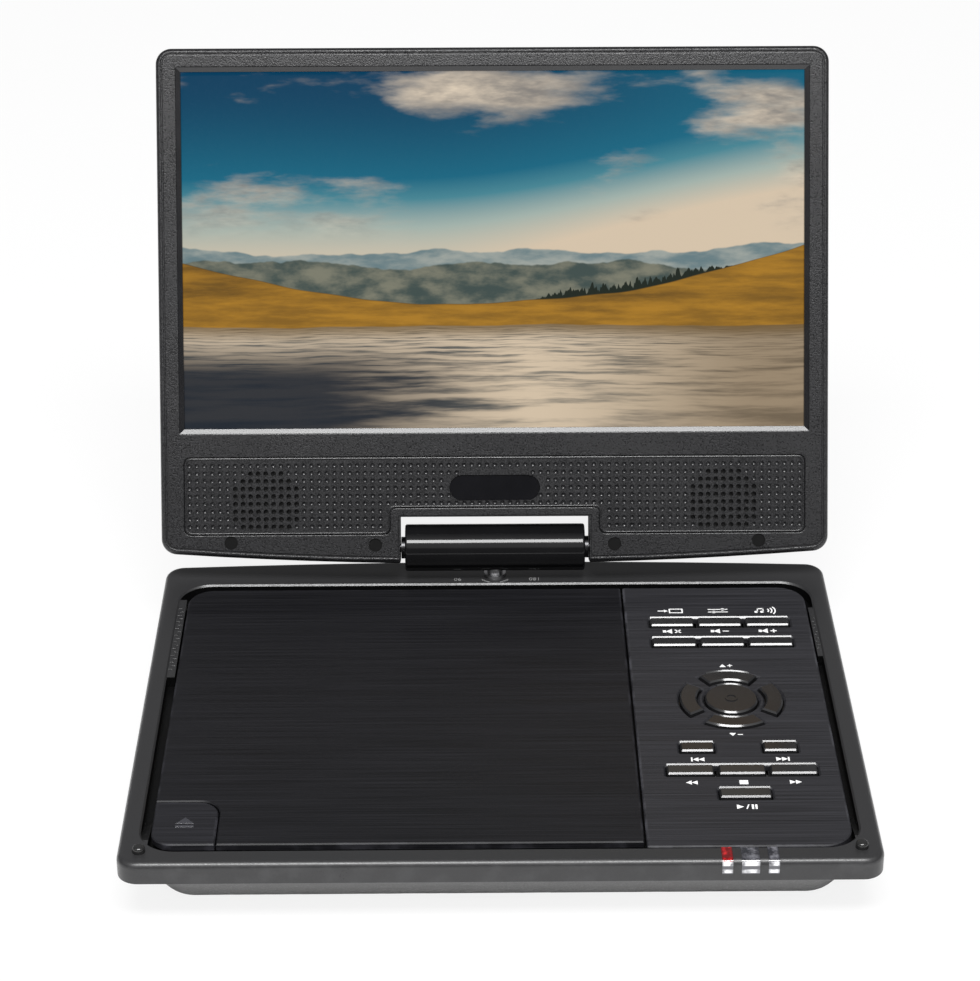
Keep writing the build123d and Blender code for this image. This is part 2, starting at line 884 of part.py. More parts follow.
# Disc lid with its hinge ears and the catch that the latch holds
with BuildPart() as disc_lid:
    pad(
        plate_outline(
            disc_lid_left, disc_lid_right, disc_lid_front, disc_lid_rear,
            (disc_lid_corner_r, lid_edge, lid_edge, lid_edge),
        ),
        disc_lid_under, top_z,
    )
    pad(
        rounded(
            disc_lid_left - button_corner_r - button_gap, button_right + button_gap,
            disc_lid_front - button_corner_r - button_gap, button_rear + button_gap,
            button_corner_r,
        ),
        disc_lid_under, top_z, mode=Mode.SUBTRACT,
    )
    chamfer(disc_lid.edges().group_by(Axis.Z)[-1], lid_edge)
    for ear_x in (left_ear_x, right_ear_x):
        block(
            ear_x - lid_ear_t / 2, ear_x + lid_ear_t / 2, lid_pivot_y - lid_ear_r,
            lid_pivot_y + lid_ear_r, lid_pivot_z, disc_lid_under,
        )
        bar(ear_x - lid_ear_t / 2, ear_x + lid_ear_t / 2, lid_pivot_y, lid_pivot_z, lid_ear_r)
        bar(ear_x, ear_x + lid_ear_t / 2 + lid_pin_length, lid_pivot_y, lid_pivot_z, lid_pin_r)
    block(
        catch_x, catch_x + catch_t, catch_y - latch_depth / 2, catch_y + latch_depth / 2,
        disc_lid_under - catch_drop, disc_lid_under,
    )
save(disc_lid, "disc_lid")

# Open button at the corner of the disc lid
with BuildPart() as open_button:
    pad(
        plate_outline(
            button_left, button_right, button_front, button_rear,
            (lid_edge, button_corner_r, lid_edge, button_corner_r),
        ),
        disc_lid_under, top_z,
    )
    chamfer(open_button.edges().group_by(Axis.Z)[-1], lid_edge)
    block(
        stem_left, stem_left + button_stem, stem_y - latch_depth / 2, stem_y + latch_depth / 2,
        stem_foot_z, disc_lid_under,
    )
    chamfer(
        open_button.edges().group_by(Axis.Z)[0].sort_by(Axis.X)[0], button_stem / 2
    )
save(open_button, "open_button")

# Latch slide under the bay, pushed aside by the stem of the button
with BuildPart() as lid_latch:
    block(
        stem_left - button_stem, catch_x - moving_gap, stem_y - latch_depth / 2,
        stem_y + latch_depth / 2, latch_top - latch_t, latch_top,
    )
    with BuildSketch(Plane.XZ.offset(-stem_y - latch_depth / 2)) as wedge:
        with BuildLine():
            Polyline(
                (stem_left - button_stem, latch_top),
                (stem_left - button_stem, ramp_top),
                (stem_left - 2 * moving_gap, ramp_top),
                (stem_left - 2 * moving_gap + ramp_top - latch_top, latch_top),
                close=True,
            )
        make_face()
    extrude(wedge.sketch, amount=latch_depth)
save(lid_latch, "lid_latch")

# Control panel: a shallow tray turned over, with slots for the keys
ring_play = degrees(key_gap / ring_inner_r)
row_keys = (
    (row_1, ("mode_key", "setup_key", "audio_key")),
    (row_2, ("mute_key", "volume_down_key", "volume_up_key")),
    (row_3, ("rewind_key", "stop_key", "forward_key")),
)
single_keys = (
    ("previous_key", key_x - skip_key_offset, skip_row, skip_key_width),
    ("next_key", key_x + skip_key_offset, skip_row, skip_key_width),
    ("play_key", key_x, play_row, play_key_width),
)
ring_keys = (
    ("right_key", 0), ("channel_up_key", 90), ("left_key", 180), ("channel_down_key", 270)
)
key_slots = [
    rounded_at(key_x, row, 2 * key_pitch + key_width + 2 * key_gap, key_depth + 2 * key_gap)
    for row, names in row_keys
]
key_slots += [
    rounded_at(x, y, width + 2 * key_gap, key_depth + 2 * key_gap)
    for name, x, y, width in single_keys
]
key_slots += [
    ring_sector(
        ring_inner_r - key_gap, ring_outer_r + key_gap, ring_half_angle + ring_play, heading
    )
    for name, heading in ring_keys
]
with BuildPart() as control_panel:
    pad(
        plate_outline(
            panel_left, panel_right, panel_front, panel_rear,
            (lid_edge, panel_corner_r, panel_corner_r, lid_edge),
        ),
        bay_floor_z, top_z,
    )
    chamfer(control_panel.edges().group_by(Axis.Z)[-1], lid_edge)
    pad(
        rounded(
            panel_left + panel_rib, panel_right - panel_rib, panel_front + panel_rib,
            panel_rear - panel_rib, panel_corner_r - panel_rib,
        ),
        bay_floor_z, panel_under, mode=Mode.SUBTRACT,
    )
    block(
        pipe_spots[0] - pipe_lamp, pipe_spots[-1] + pipe_lamp, panel_front,
        panel_front + pipe_lamp + wall, bay_floor_z, panel_under, mode=Mode.SUBTRACT,
    )
    for slot in key_slots:
        pad(slot, panel_under, top_z, mode=Mode.SUBTRACT)
    pillar(key_x, ring_y, ok_key_r + key_gap, panel_under, top_z, mode=Mode.SUBTRACT)
    chamfer(
        [
            edge for edge in control_panel.edges().group_by(Axis.Z)[-1]
            if panel_left + panel_corner_r / 2 < edge.center().X < panel_right - panel_corner_r / 2
            and panel_front + panel_corner_r / 2 < edge.center().Y < panel_rear - panel_corner_r / 2
        ],
        slot_edge,
    )
save(control_panel, "control_panel")


def press_key(cap, flange):
    """Key cap that stands through the panel, with a flange that holds it below."""
    with BuildPart() as key:
        pad(flange, key_foot_z, key_flange_top)
        pad(cap, key_flange_top, top_z + key_proud)
        chamfer(key.edges().group_by(Axis.Z)[-1], key_chamfer)
    return key


flange_side = (key_pitch - key_width) / 2 - moving_gap
key_places = []
for row, names in row_keys:
    for column, name in enumerate(names):
        key_places.append((name, key_x + (column - 1) * key_pitch, row, key_width))
key_places += single_keys
for name, x, y, width in key_places:
    key = press_key(
        rounded_at(x, y, width, key_depth),
        rounded_at(x, y, width + 2 * flange_side, key_depth + 2 * key_flange),
    )
    save(key, name)
for name, heading in ring_keys:
    key = press_key(
        ring_sector(ring_inner_r, ring_outer_r, ring_half_angle, heading),
        ring_sector(
            ring_inner_r - key_flange, ring_outer_r + key_flange, ring_half_angle + ring_play,
            heading,
        ),
    )
    save(key, name)
ok_key = press_key(disc_at(key_x, ring_y, ok_key_r), disc_at(key_x, ring_y, ok_key_r + key_flange))
save(ok_key, "ok_key")

# Rubber mat under the keys, with a dome for each
dome_spots = [(x, y) for name, x, y, width in key_places] + [(key_x, ring_y)]
ring_mid_r = (ring_inner_r + ring_outer_r) / 2
for name, heading in ring_keys:
    turn = radians(heading)
    dome_spots.append((key_x + ring_mid_r * cos(turn), ring_y + ring_mid_r * sin(turn)))
with BuildPart() as key_mat:
    block(
        key_x - keys_half + fit_gap, key_x + keys_half - fit_gap, keys_front + fit_gap,
        keys_rear - fit_gap, tub_z, tub_z + mat_t,
    )
    for x, y in dome_spots:
        with Locations((x, y, tub_z + mat_t)):
            Cone(
                mat_dome_r, mat_dome_r / 2, mat_top - tub_z - mat_t,
                align=(Align.CENTER, Align.CENTER, Align.MIN),
            )
save(key_mat, "key_mat")

# Key board with the indicator lamps, held under the bay floor
with BuildPart() as key_board:
    block(
        key_x - keys_half - board_margin, key_x + keys_half + board_margin,
        keys_front - board_margin, keys_rear + board_margin, tub_z - board_t, tub_z,
    )
    block(
        pipe_spots[0] - 2 * pipe_lamp, pipe_spots[-1] + 2 * pipe_lamp, lamp_y - pipe_lamp / 2,
        keys_front, tub_z - board_t, tub_z,
    )
    for x in pipe_spots:
        block(
            x - pipe_lamp / 2, x + pipe_lamp / 2, lamp_y - pipe_lamp / 2,
            lamp_y + pipe_lamp / 2, tub_z, panel_under - moving_gap,
        )
save(key_board, "key_board")

# Battery and main board on the floor of the base
with BuildPart() as battery_pack:
    pad(
        rounded(
            battery_left, battery_left + battery_width, battery_front, battery_rear, wall
        ),
        floor_z, floor_z + battery_t,
    )
save(battery_pack, "battery_pack")

with BuildPart() as main_board:
    block(
        main_board_left, main_board_right, main_board_front, main_board_rear,
        board_z, board_z + board_t,
    )
    with Locations(
        (main_board_left + chip_size, main_board_front + chip_size, board_z + board_t),
        (main_board_left + chip_size, main_board_rear - chip_size, board_z + board_t),
    ):
        Box(chip_size, chip_size, chip_t, align=(Align.CENTER, Align.CENTER, Align.MIN))
save(main_board, "main_board")

# Sockets: a body on the board and a nose in the wall of the lower shell
mouth_x = base_width / 2 - hull_inset(socket_z)
with BuildPart() as headphone_jack:
    block(
        socket_back_x, socket_front_x, headphone_y - socket_side / 2,
        headphone_y + socket_side / 2, board_z + board_t, socket_z + socket_side / 2,
    )
    bar(socket_front_x, mouth_x, headphone_y, socket_z, socket_nose_r)
    bar(mouth_x - jack_bore_length, mouth_x, headphone_y, socket_z, jack_bore_r, mode=Mode.SUBTRACT)
save(headphone_jack, "headphone_jack")

with BuildPart() as antenna_socket:
    block(
        -socket_front_x, -socket_back_x, antenna_y - socket_side / 2,
        antenna_y + socket_side / 2, socket_z - socket_side / 2, socket_z + socket_side / 2,
    )
    bar(-mouth_x, -socket_front_x, antenna_y, socket_z, socket_nose_r)
    bar(-mouth_x, jack_bore_length - mouth_x, antenna_y, socket_z, jack_bore_r, mode=Mode.SUBTRACT)
save(antenna_socket, "antenna_socket")

with BuildPart() as dc_inlet:
    block(
        socket_back_x, socket_front_x, dc_y - dc_side / 2, dc_y + dc_side / 2,
        board_z + board_t, socket_z + dc_side / 2,
    )
    bar(socket_front_x, mouth_x, dc_y, socket_z, dc_nose_r)
    bar(mouth_x - dc_bore_length, mouth_x, dc_y, socket_z, dc_bore_r, mode=Mode.SUBTRACT)
    bar(mouth_x - dc_bore_length, mouth_x - wall, dc_y, socket_z, dc_pin_r)
save(dc_inlet, "dc_inlet")

# Power switch: body on the board, knob in a slot of the wall
knob_y0 = switch_y - switch_knob_length / 2
knob_y1 = switch_y + switch_knob_length / 2
knob_z0 = socket_z - switch_knob_t / 2
knob_z1 = socket_z + switch_knob_t / 2
with BuildPart() as power_switch_body:
    block(
        socket_back_x, socket_front_x, knob_y0 - wall, knob_y1 + switch_travel + wall,
        board_z + board_t, socket_z + socket_side / 2,
    )
    block(
        socket_front_x - switch_grip - moving_gap, socket_front_x, knob_y0 - moving_gap,
        knob_y1 + switch_travel + moving_gap, knob_z0 - running_gap, knob_z1 + running_gap,
        mode=Mode.SUBTRACT,
    )
save(power_switch_body, "power_switch_body")

with BuildPart() as power_switch_knob:
    block(
        socket_front_x - switch_grip, mouth_x + switch_knob_proud, knob_y0, knob_y1,
        knob_z0, knob_z1,
    )
    chamfer(power_switch_knob.edges().group_by(Axis.X)[-1], switch_knob_edge)
save(power_switch_knob, "power_switch_knob")

# Disc drive: chassis on rubber dampers
with BuildPart() as drive_dampers:
    for x, y in damper_spots:
        pillar(x, y, damper_r - running_gap, floor_z, chassis_z)
        pillar(x, y, damper_pin_r + running_gap, floor_z, chassis_z, mode=Mode.SUBTRACT)
save(drive_dampers, "drive_dampers")

rod_spots = (disc_x - rod_spacing / 2, disc_x + rod_spacing / 2)
motor_front = inner_wall_y - sled_motor_length
with BuildPart() as drive_chassis:
    block(
        disc_x - chassis_left, disc_x + chassis_right, disc_y - chassis_front, chassis_rear,
        chassis_z, deck_z,
    )
    for y in (inner_wall_y, outer_wall_y):
        block(
            disc_x - sled_width / 2, screw_x + sled_motor_r, y, y + wall,
            deck_z, well_floor_z - well_wall - fit_gap,
        )
    for x in rod_spots:
        rail(x, inner_wall_y, chassis_rear, rod_z, rod_r, mode=Mode.SUBTRACT)
    rail(screw_x, inner_wall_y, chassis_rear, rod_z, screw_r + running_gap, mode=Mode.SUBTRACT)
    for x, y in damper_spots:
        pillar(x, y, damper_pin_r + running_gap, chassis_z, deck_z, mode=Mode.SUBTRACT)
save(drive_chassis, "drive_chassis")

with BuildPart() as spindle_motor:
    pillar(disc_x, disc_y, motor_r, deck_z, deck_z + motor_height)
    pillar(
        disc_x, disc_y, spindle_r + running_gap, deck_z + wall / 2, deck_z + motor_height,
        mode=Mode.SUBTRACT,
    )
save(spindle_motor, "spindle_motor")

with BuildPart() as turntable:
    pillar(disc_x, disc_y, turntable_r, disc_z - turntable_t, disc_z)
    pillar(disc_x, disc_y, hub_r, disc_z, disc_z + hub_height)
    chamfer(turntable.edges().group_by(Axis.Z)[-1], hub_edge)
    pillar(
        disc_x, disc_y, spindle_r, deck_z + wall / 2 + moving_gap, disc_z - turntable_t
    )
    with Locations((disc_x, disc_y, disc_z + hub_height / 2)):
        with PolarLocations(hub_r - spindle_r / 2, hub_balls):
            Sphere(spindle_r)
save(turntable, "turntable")

with BuildPart() as guide_rods:
    for x in rod_spots:
        rail(x, inner_wall_y, chassis_rear, rod_z, rod_r)
save(guide_rods, "guide_rods")

with BuildPart() as lead_screw:
    rail(screw_x, motor_front + wall, chassis_rear, rod_z, screw_r)
save(lead_screw, "lead_screw")

with BuildPart() as sled_motor:
    rail(screw_x, motor_front, inner_wall_y, rod_z, sled_motor_r)
    rail(
        screw_x, motor_front + wall / 2, inner_wall_y, rod_z, screw_r + running_gap,
        mode=Mode.SUBTRACT,
    )
save(sled_motor, "sled_motor")

# Optical pickup: sled on the rods, and its lens
sled_top = rod_z + sled_t / 2
with BuildPart() as pickup_sled:
    block(
        disc_x - sled_width / 2, disc_x + sled_width / 2, sled_y - sled_length / 2,
        sled_y + sled_length / 2, rod_z - sled_t / 2, sled_top,
    )
    for x in rod_spots:
        rail(
            x, sled_y - sled_length / 2, sled_y + sled_length / 2, rod_z, rod_r + running_gap,
            mode=Mode.SUBTRACT,
        )
save(pickup_sled, "pickup_sled")

with BuildPart() as pickup_lens:
    pillar(disc_x, sled_y, lens_base_r, sled_top, sled_top + lens_height - lens_dome)
    with Locations((disc_x, sled_y, sled_top + lens_height - lens_dome)):
        Cone(lens_r, lens_r / 2, lens_dome, align=(Align.CENTER, Align.CENTER, Align.MIN))
save(pickup_lens, "pickup_lens")

# Swivel hinge: post fixed in the base, barrel that turns on it, pins for the screen
flange_half = bay_to_axis - wall - fit_gap
with BuildPart() as swivel_shaft:
    pad(
        rounded(
            -post_flange_length / 2, post_flange_length / 2, axis_y - flange_half,
            axis_y + flange_half, flange_half / 2,
        ),
        top_z - wall - post_flange_t, top_z - wall,
    )
    pillar(0, axis_y, post_r, top_z - wall, axis_z + post_reach)
    pillar(0, axis_y, post_collar_r, top_z, top_z + post_collar_t)
save(swivel_shaft, "swivel_shaft")

barrel_end = barrel_length / 2
with BuildPart() as swivel_head:
    bar(-barrel_end, barrel_end, axis_y, axis_z, barrel_r)
    fillet(swivel_head.edges().filter_by(GeomType.CIRCLE), barrel_edge)
    pillar(
        0, axis_y, post_r + running_gap, axis_z - barrel_r, axis_z + post_reach + moving_gap,
        mode=Mode.SUBTRACT,
    )
    bar(-barrel_end, hinge_pin_grip - barrel_end, axis_y, axis_z, hinge_pin_r, mode=Mode.SUBTRACT)
    bar(barrel_end - hinge_pin_grip, barrel_end, axis_y, axis_z, hinge_pin_r, mode=Mode.SUBTRACT)
save(swivel_head, "swivel_head")

collar_end = notch_half - moving_gap
with BuildPart() as hinge_pins:
    for side in (-1, 1):
        pin_ends = sorted((side * (barrel_end - hinge_pin_grip), side * hinge_pin_tip))
        collar_ends = sorted((side * barrel_end, side * collar_end))
        bar(*pin_ends, axis_y, axis_z, hinge_pin_r)
        bar(*collar_ends, axis_y, axis_z, hinge_collar_r)
save(hinge_pins, "hinge_pins")

# Screen: outlines of the strip, its wall round the hinge notch and its sound holes
strip_outline = strip_shape(0)
with BuildSketch() as notch_frame:
    add(screen_outline(0))
    with Locations((0, notch_rise / 2)):
        Rectangle(2 * (notch_half + wall), notch_rise + 2 * wall + screen_bow, mode=Mode.INTERSECT)
speaker_spots = [(side * speaker_u, speaker_v) for side in (-1, 1)]
sound_holes = [
    (side * speaker_u + (column - (count - 1) / 2) * dot_pitch, first_hole_row - row * dot_pitch)
    for side in (-1, 1)
    for row, count in enumerate(hole_rows)
    for column in range(count)
]
sound_width = max(hole_rows) * dot_pitch + sound_margin
sound_height = len(hole_rows) * dot_pitch + sound_margin


def screen_shell(w0, w1, skin0, skin1):
    """Hollow one half of the screen casing, wall in the hinge notch and cut the notch."""
    screen_pad(screen_outline(wall), skin0, skin1, mode=Mode.SUBTRACT)
    screen_pad(notch_frame.sketch, skin0, skin1)
    for u, v in plug_spots:
        screen_pillar(u, v, lid_boss_r, skin0, skin1)
    screen_block(
        -notch_half, notch_half, -2 * screen_bow, notch_rise, w0, w1, mode=Mode.SUBTRACT
    )
    with Locations(on_screen(0, 0, 0) * Rot(0, 90, 0)):
        Cylinder(
            hinge_pin_r + fit_gap, 2 * (hinge_pin_tip + moving_gap), mode=Mode.SUBTRACT
        )


with BuildPart() as screen_bezel:
    screen_pad(screen_outline(0), 0, screen_half_t)
    fillet(screen_lip(screen_bezel), front_edge_r)
    screen_shell(0, screen_half_t, 0, screen_half_t - wall)
    screen_block(
        -window_width / 2, window_width / 2, window_centre - window_height / 2,
        window_centre + window_height / 2, screen_half_t - wall, screen_half_t,
        mode=Mode.SUBTRACT,
    )
    chamfer(
        [
            edge for edge in screen_lip(screen_bezel)
            if abs(screen_plane.to_local_coords(edge.center()).X) < window_width / 2 + fit_gap
            and abs(screen_plane.to_local_coords(edge.center()).Y - window_centre)
            < window_height / 2 + fit_gap
        ],
        window_bevel,
    )
    screen_pad(strip_outline, strip_seat, screen_half_t, mode=Mode.SUBTRACT)
    for u, v in speaker_spots:
        screen_block(
            u - sound_width / 2, u + sound_width / 2, v - sound_height / 2,
            v + sound_height / 2, screen_half_t - wall, strip_seat, mode=Mode.SUBTRACT,
        )
    with BuildSketch(screen_plane.offset(screen_half_t - wall)):
        with Locations((0, ir_centre)):
            SlotOverall(ir_width - 2 * ir_seat, ir_height - 2 * ir_seat)
    extrude(amount=wall - strip_t, mode=Mode.SUBTRACT)
    for u, v in plug_spots:
        screen_pillar(u, v, plug_r + running_gap, lid_screw_seat, screen_half_t, mode=Mode.SUBTRACT)
        screen_pillar(u, v, lid_screw_r + fit_gap, 0, lid_screw_seat, mode=Mode.SUBTRACT)
save(screen_bezel, "screen_bezel")

with BuildPart() as screen_back_cover:
    screen_pad(screen_outline(0), -screen_half_t, 0)
    fillet(screen_back(screen_back_cover), back_edge_r)
    screen_shell(-screen_half_t, 0, wall - screen_half_t, 0)
    for u, v in plug_spots:
        screen_pillar(
            u, v, lid_screw_r + running_gap, -lid_screw_reach - moving_gap, 0, mode=Mode.SUBTRACT
        )
save(screen_back_cover, "screen_back_cover")

with BuildPart() as speaker_grille:
    screen_pad(strip_shape(fit_gap), strip_seat, screen_half_t)
    with BuildSketch(screen_plane.offset(strip_seat)):
        with Locations(*sound_holes):
            Circle(hole_r)
        with Locations((0, ir_centre)):
            SlotOverall(ir_width + 2 * fit_gap, ir_height + 2 * fit_gap)
    extrude(amount=strip_t, mode=Mode.SUBTRACT)
save(speaker_grille, "speaker_grille")

with BuildPart() as ir_window:
    with BuildSketch(screen_plane.offset(strip_seat)):
        with Locations((0, ir_centre)):
            SlotOverall(ir_width, ir_height)
    extrude(amount=ir_t)
save(ir_window, "ir_window")

# Display stack behind the window
lcd_half = window_width / 2 + lcd_overlap
lcd_low = window_centre - window_height / 2 - lcd_overlap
lcd_high = window_centre + window_height / 2 + lcd_overlap
with BuildPart() as lcd_panel:
    screen_block(-lcd_half, lcd_half, lcd_low, lcd_high, glass_back, glass_front)
save(lcd_panel, "lcd_panel")

with BuildPart() as lcd_backlight:
    screen_block(
        -lcd_half - backlight_overlap, lcd_half + backlight_overlap, lcd_low - backlight_overlap,
        lcd_high + backlight_overlap, backlight_back, backlight_front,
    )
save(lcd_backlight, "lcd_backlight")

driver_front = backlight_back - 2 * fit_gap
driver_back = driver_front - board_t
with BuildPart() as lcd_driver_board:
    screen_block(
        -driver_width / 2, driver_width / 2, window_centre - driver_height / 2,
        window_centre + driver_height / 2, driver_back, driver_front,
    )
    for u in (-driver_width / 4, 0, driver_width / 4):
        screen_block(
            u - driver_chip / 2, u + driver_chip / 2, window_centre - driver_chip / 2,
            window_centre + driver_chip / 2, driver_back - driver_chip_t, driver_back,
        )
save(lcd_driver_board, "lcd_driver_board")

# Speakers behind the sound holes
with BuildPart() as speakers:
    for u, v in speaker_spots:
        screen_block(
            u - speaker_width / 2, u + speaker_width / 2, v - speaker_height / 2,
            v + speaker_height / 2, glass_front - speaker_t, glass_front,
        )
        screen_pillar(
            u, v, magnet_r, glass_front - speaker_t - magnet_t, glass_front - speaker_t
        )
save(speakers, "speakers")

# Steel brackets that carry the screen on the hinge pins
bracket_in = notch_half + wall + fit_gap
bracket_out = bracket_in + bracket_t
with BuildPart() as hinge_brackets:
    for side in (-1, 1):
        plate_ends = sorted((side * bracket_in, side * bracket_out))
        flange_ends = sorted((side * bracket_out, side * (bracket_out + bracket_flange_length)))
        screen_block(
            *plate_ends, -bracket_drop, bracket_top, -bracket_drop, glass_front
        )
        screen_block(
            *flange_ends, bracket_flange_bottom, bracket_top, glass_front - bracket_flange_t,
            glass_front,
        )
    with Locations(on_screen(0, 0, 0) * Rot(0, 90, 0)):
        Cylinder(hinge_pin_r + running_gap, screen_width, mode=Mode.SUBTRACT)
save(hinge_brackets, "hinge_brackets")

# Screws that close the screen casing, and the plugs that hide them
with BuildPart() as screen_screws:
    for u, v in plug_spots:
        screen_pillar(u, v, plug_r - fit_gap, lid_screw_seat, plug_floor)
        screen_pillar(u, v, lid_screw_r, -lid_screw_reach, lid_screw_seat)
save(screen_screws, "screen_screws")

with BuildPart() as screw_plugs:
    for u, v in plug_spots:
        screen_pillar(
            u, v, plug_r, plug_floor + fit_gap, screen_half_t - plug_sink
        )
save(screw_plugs, "screw_plugs")
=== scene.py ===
import json
import math

import bmesh
import bpy
from bpy.props import FloatProperty, FloatVectorProperty, PointerProperty
from mathutils import Matrix, Vector

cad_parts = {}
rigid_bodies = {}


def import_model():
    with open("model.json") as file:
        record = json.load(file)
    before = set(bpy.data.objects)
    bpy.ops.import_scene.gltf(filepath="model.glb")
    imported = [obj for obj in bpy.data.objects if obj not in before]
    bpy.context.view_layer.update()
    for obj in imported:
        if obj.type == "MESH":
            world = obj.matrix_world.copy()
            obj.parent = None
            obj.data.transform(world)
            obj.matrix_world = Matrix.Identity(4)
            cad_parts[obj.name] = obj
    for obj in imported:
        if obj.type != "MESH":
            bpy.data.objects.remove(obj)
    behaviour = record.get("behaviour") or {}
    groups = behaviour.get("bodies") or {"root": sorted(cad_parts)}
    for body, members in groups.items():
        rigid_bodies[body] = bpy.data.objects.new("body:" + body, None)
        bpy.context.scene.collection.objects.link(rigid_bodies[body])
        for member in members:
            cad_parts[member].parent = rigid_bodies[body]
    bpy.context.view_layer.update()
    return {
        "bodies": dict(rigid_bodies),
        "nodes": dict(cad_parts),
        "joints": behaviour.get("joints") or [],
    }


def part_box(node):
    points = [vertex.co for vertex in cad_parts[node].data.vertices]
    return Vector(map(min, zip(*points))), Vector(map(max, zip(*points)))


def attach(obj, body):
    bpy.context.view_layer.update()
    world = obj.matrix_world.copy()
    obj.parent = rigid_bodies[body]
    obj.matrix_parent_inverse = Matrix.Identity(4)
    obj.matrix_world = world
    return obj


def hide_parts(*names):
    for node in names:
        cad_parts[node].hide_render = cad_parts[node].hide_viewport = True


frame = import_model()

bl_info = {
    "name": "Portable Disc Player",
    "version": (1, 0, 0),
    "blender": (4, 5, 0),
    "location": "View3D > Sidebar > Disc Player",
    "description": "Finishes, prints and fine detail for a portable disc player",
    "category": "Object",
}

MM = 0.001

# The screen's own frame: u across, v up its face, w out of its face
FOLD = next(entry for entry in frame["joints"] if entry["name"] == "fold")
LEAN = math.radians(90 + FOLD["range_deg"][0])
FOLD_POINT = Vector(FOLD["pos_m"])
SCREEN_V = Vector((0, math.sin(LEAN), math.cos(LEAN)))
SCREEN_W = Vector((0, -math.cos(LEAN), math.sin(LEAN)))
SCREEN = Matrix.Translation(FOLD_POINT) @ Matrix(
    ((1, 0, 0), tuple(SCREEN_V), tuple(SCREEN_W))
).transposed().to_4x4()

# Speaker strip on the screen's face and its step over the hinge, in millimetres
STRIP_HALF, STRIP_LOW, STRIP_HIGH = 98.5, 4.9, 29.6
STRIP_CORNER = 2.0
STEP_HALF, STEP_TOP = 33.2, 13.3

# Edges that bend by more than this are rounded
SHARP = math.radians(60)
# Size of the built-in font against the height of its digits
FONT_SCALE = 1.4


def middle(node):
    """Middle of a node's box, in millimetres."""
    low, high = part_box(node)
    return (low + high) / 2 / MM


def top(node):
    """Height of a node's top, in millimetres."""
    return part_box(node)[1].z / MM


# Sizes and colours that a user would change


def length(name, description, default):
    """Property that holds a length in metres."""
    return FloatProperty(name=name, description=description, default=default, unit="LENGTH",
                         precision=5, min=0.0)


def angle(name, description, degrees):
    """Property that holds an angle."""
    return FloatProperty(name=name, description=description, default=math.radians(degrees),
                         subtype="ANGLE")


def colour(name, description, default):
    """Property that holds a linear colour."""
    return FloatVectorProperty(name=name, description=description, default=default,
                               subtype="COLOR", size=3, min=0.0, max=1.0)


class PlayerSizes(bpy.types.PropertyGroup):
    """Sizes of the fine detail."""

    dot_pitch: length("Dot pitch", "Distance between the dots of the grille", 0.00242)
    dot_radius: length("Dot radius", "Radius of the dots and sound holes", 0.00076)
    dot_depth: length("Dot depth", "Depth of the dots that are no holes", 0.00044)
    print_height: length("Print height", "Thickness of the white prints", 0.00004)
    relief: length("Relief", "Height of raised marks", 0.00024)


class PlayerColours(bpy.types.PropertyGroup):
    """Colours of the finishes, as linear values."""

    screen_case: colour("Screen case", "Grained plastic of the screen", (0.008, 0.008, 0.009))
    strip: colour("Speaker strip", "Plastic of the speaker strip", (0.009, 0.009, 0.010))
    base_case: colour("Base case", "Satin plastic of the base", (0.021, 0.021, 0.022))
    tub: colour("Lower shell", "Grained plastic of the lower shell", (0.13, 0.13, 0.13))
    film: colour("Lid film", "Brushed film on the disc lid", (0.008, 0.008, 0.0095))
    panel: colour("Panel film", "Brushed film on the key panel", (0.021, 0.021, 0.024))
    key: colour("Keys", "Gloss plastic of the keys", (0.014, 0.014, 0.015))
    rubber: colour("Rubber", "Feet, bumpers and plugs", (0.013, 0.013, 0.013))
    ink: colour("Ink", "White prints on the panel", (0.82, 0.82, 0.82))
    lamp_red: colour("First lamp", "Red of the first lamp", (0.55, 0.012, 0.016))
    steel: colour("Steel", "Bright metal parts", (0.62, 0.62, 0.63))
    board: colour("Boards", "Solder mask of the boards", (0.02, 0.12, 0.05))
    sky_high: colour("Sky above", "Picture: sky at its top", (0.000, 0.046, 0.108))
    sky_mid: colour("Sky between", "Picture: sky half way up", (0.006, 0.130, 0.215))
    sky_low: colour("Sky below", "Picture: sky at the horizon", (0.66, 0.54, 0.40))
    meadow: colour("Meadow", "Picture: lit grass", (0.40, 0.195, 0.020))
    water: colour("Water", "Picture: lake that mirrors the sky", (0.64, 0.52, 0.38))


class StageSettings(bpy.types.PropertyGroup):
    """Camera and light of the stage."""

    lens: FloatProperty(name="Lens", description="Focal length in millimetres", default=106.45,
                        min=1.0)
    pitch: angle("Pitch", "Camera's tilt below the horizon", 28.34)
    yaw: angle("Yaw", "Camera's turn to the right", 0.469)
    roll: angle("Roll", "Camera's turn about its view", -0.105)
    camera_place: FloatVectorProperty(name="Camera place", description="Where the camera stands",
                                      default=(-0.00815, -0.73342, 0.48906),
                                      subtype="TRANSLATION", unit="LENGTH")
    key_power: FloatProperty(name="Soft box", description="Power of the soft box in watts",
                             default=27.0, min=0.0)
    floor_size: length("Floor", "Half the width of the floor", 4.0)


# Node trees


def joined(operation, swapped=False):
    """Method that joins two numbers by a Math node."""
    def method(self, other):
        return self.math(operation, *((other, self) if swapped else (self, other)))
    return method


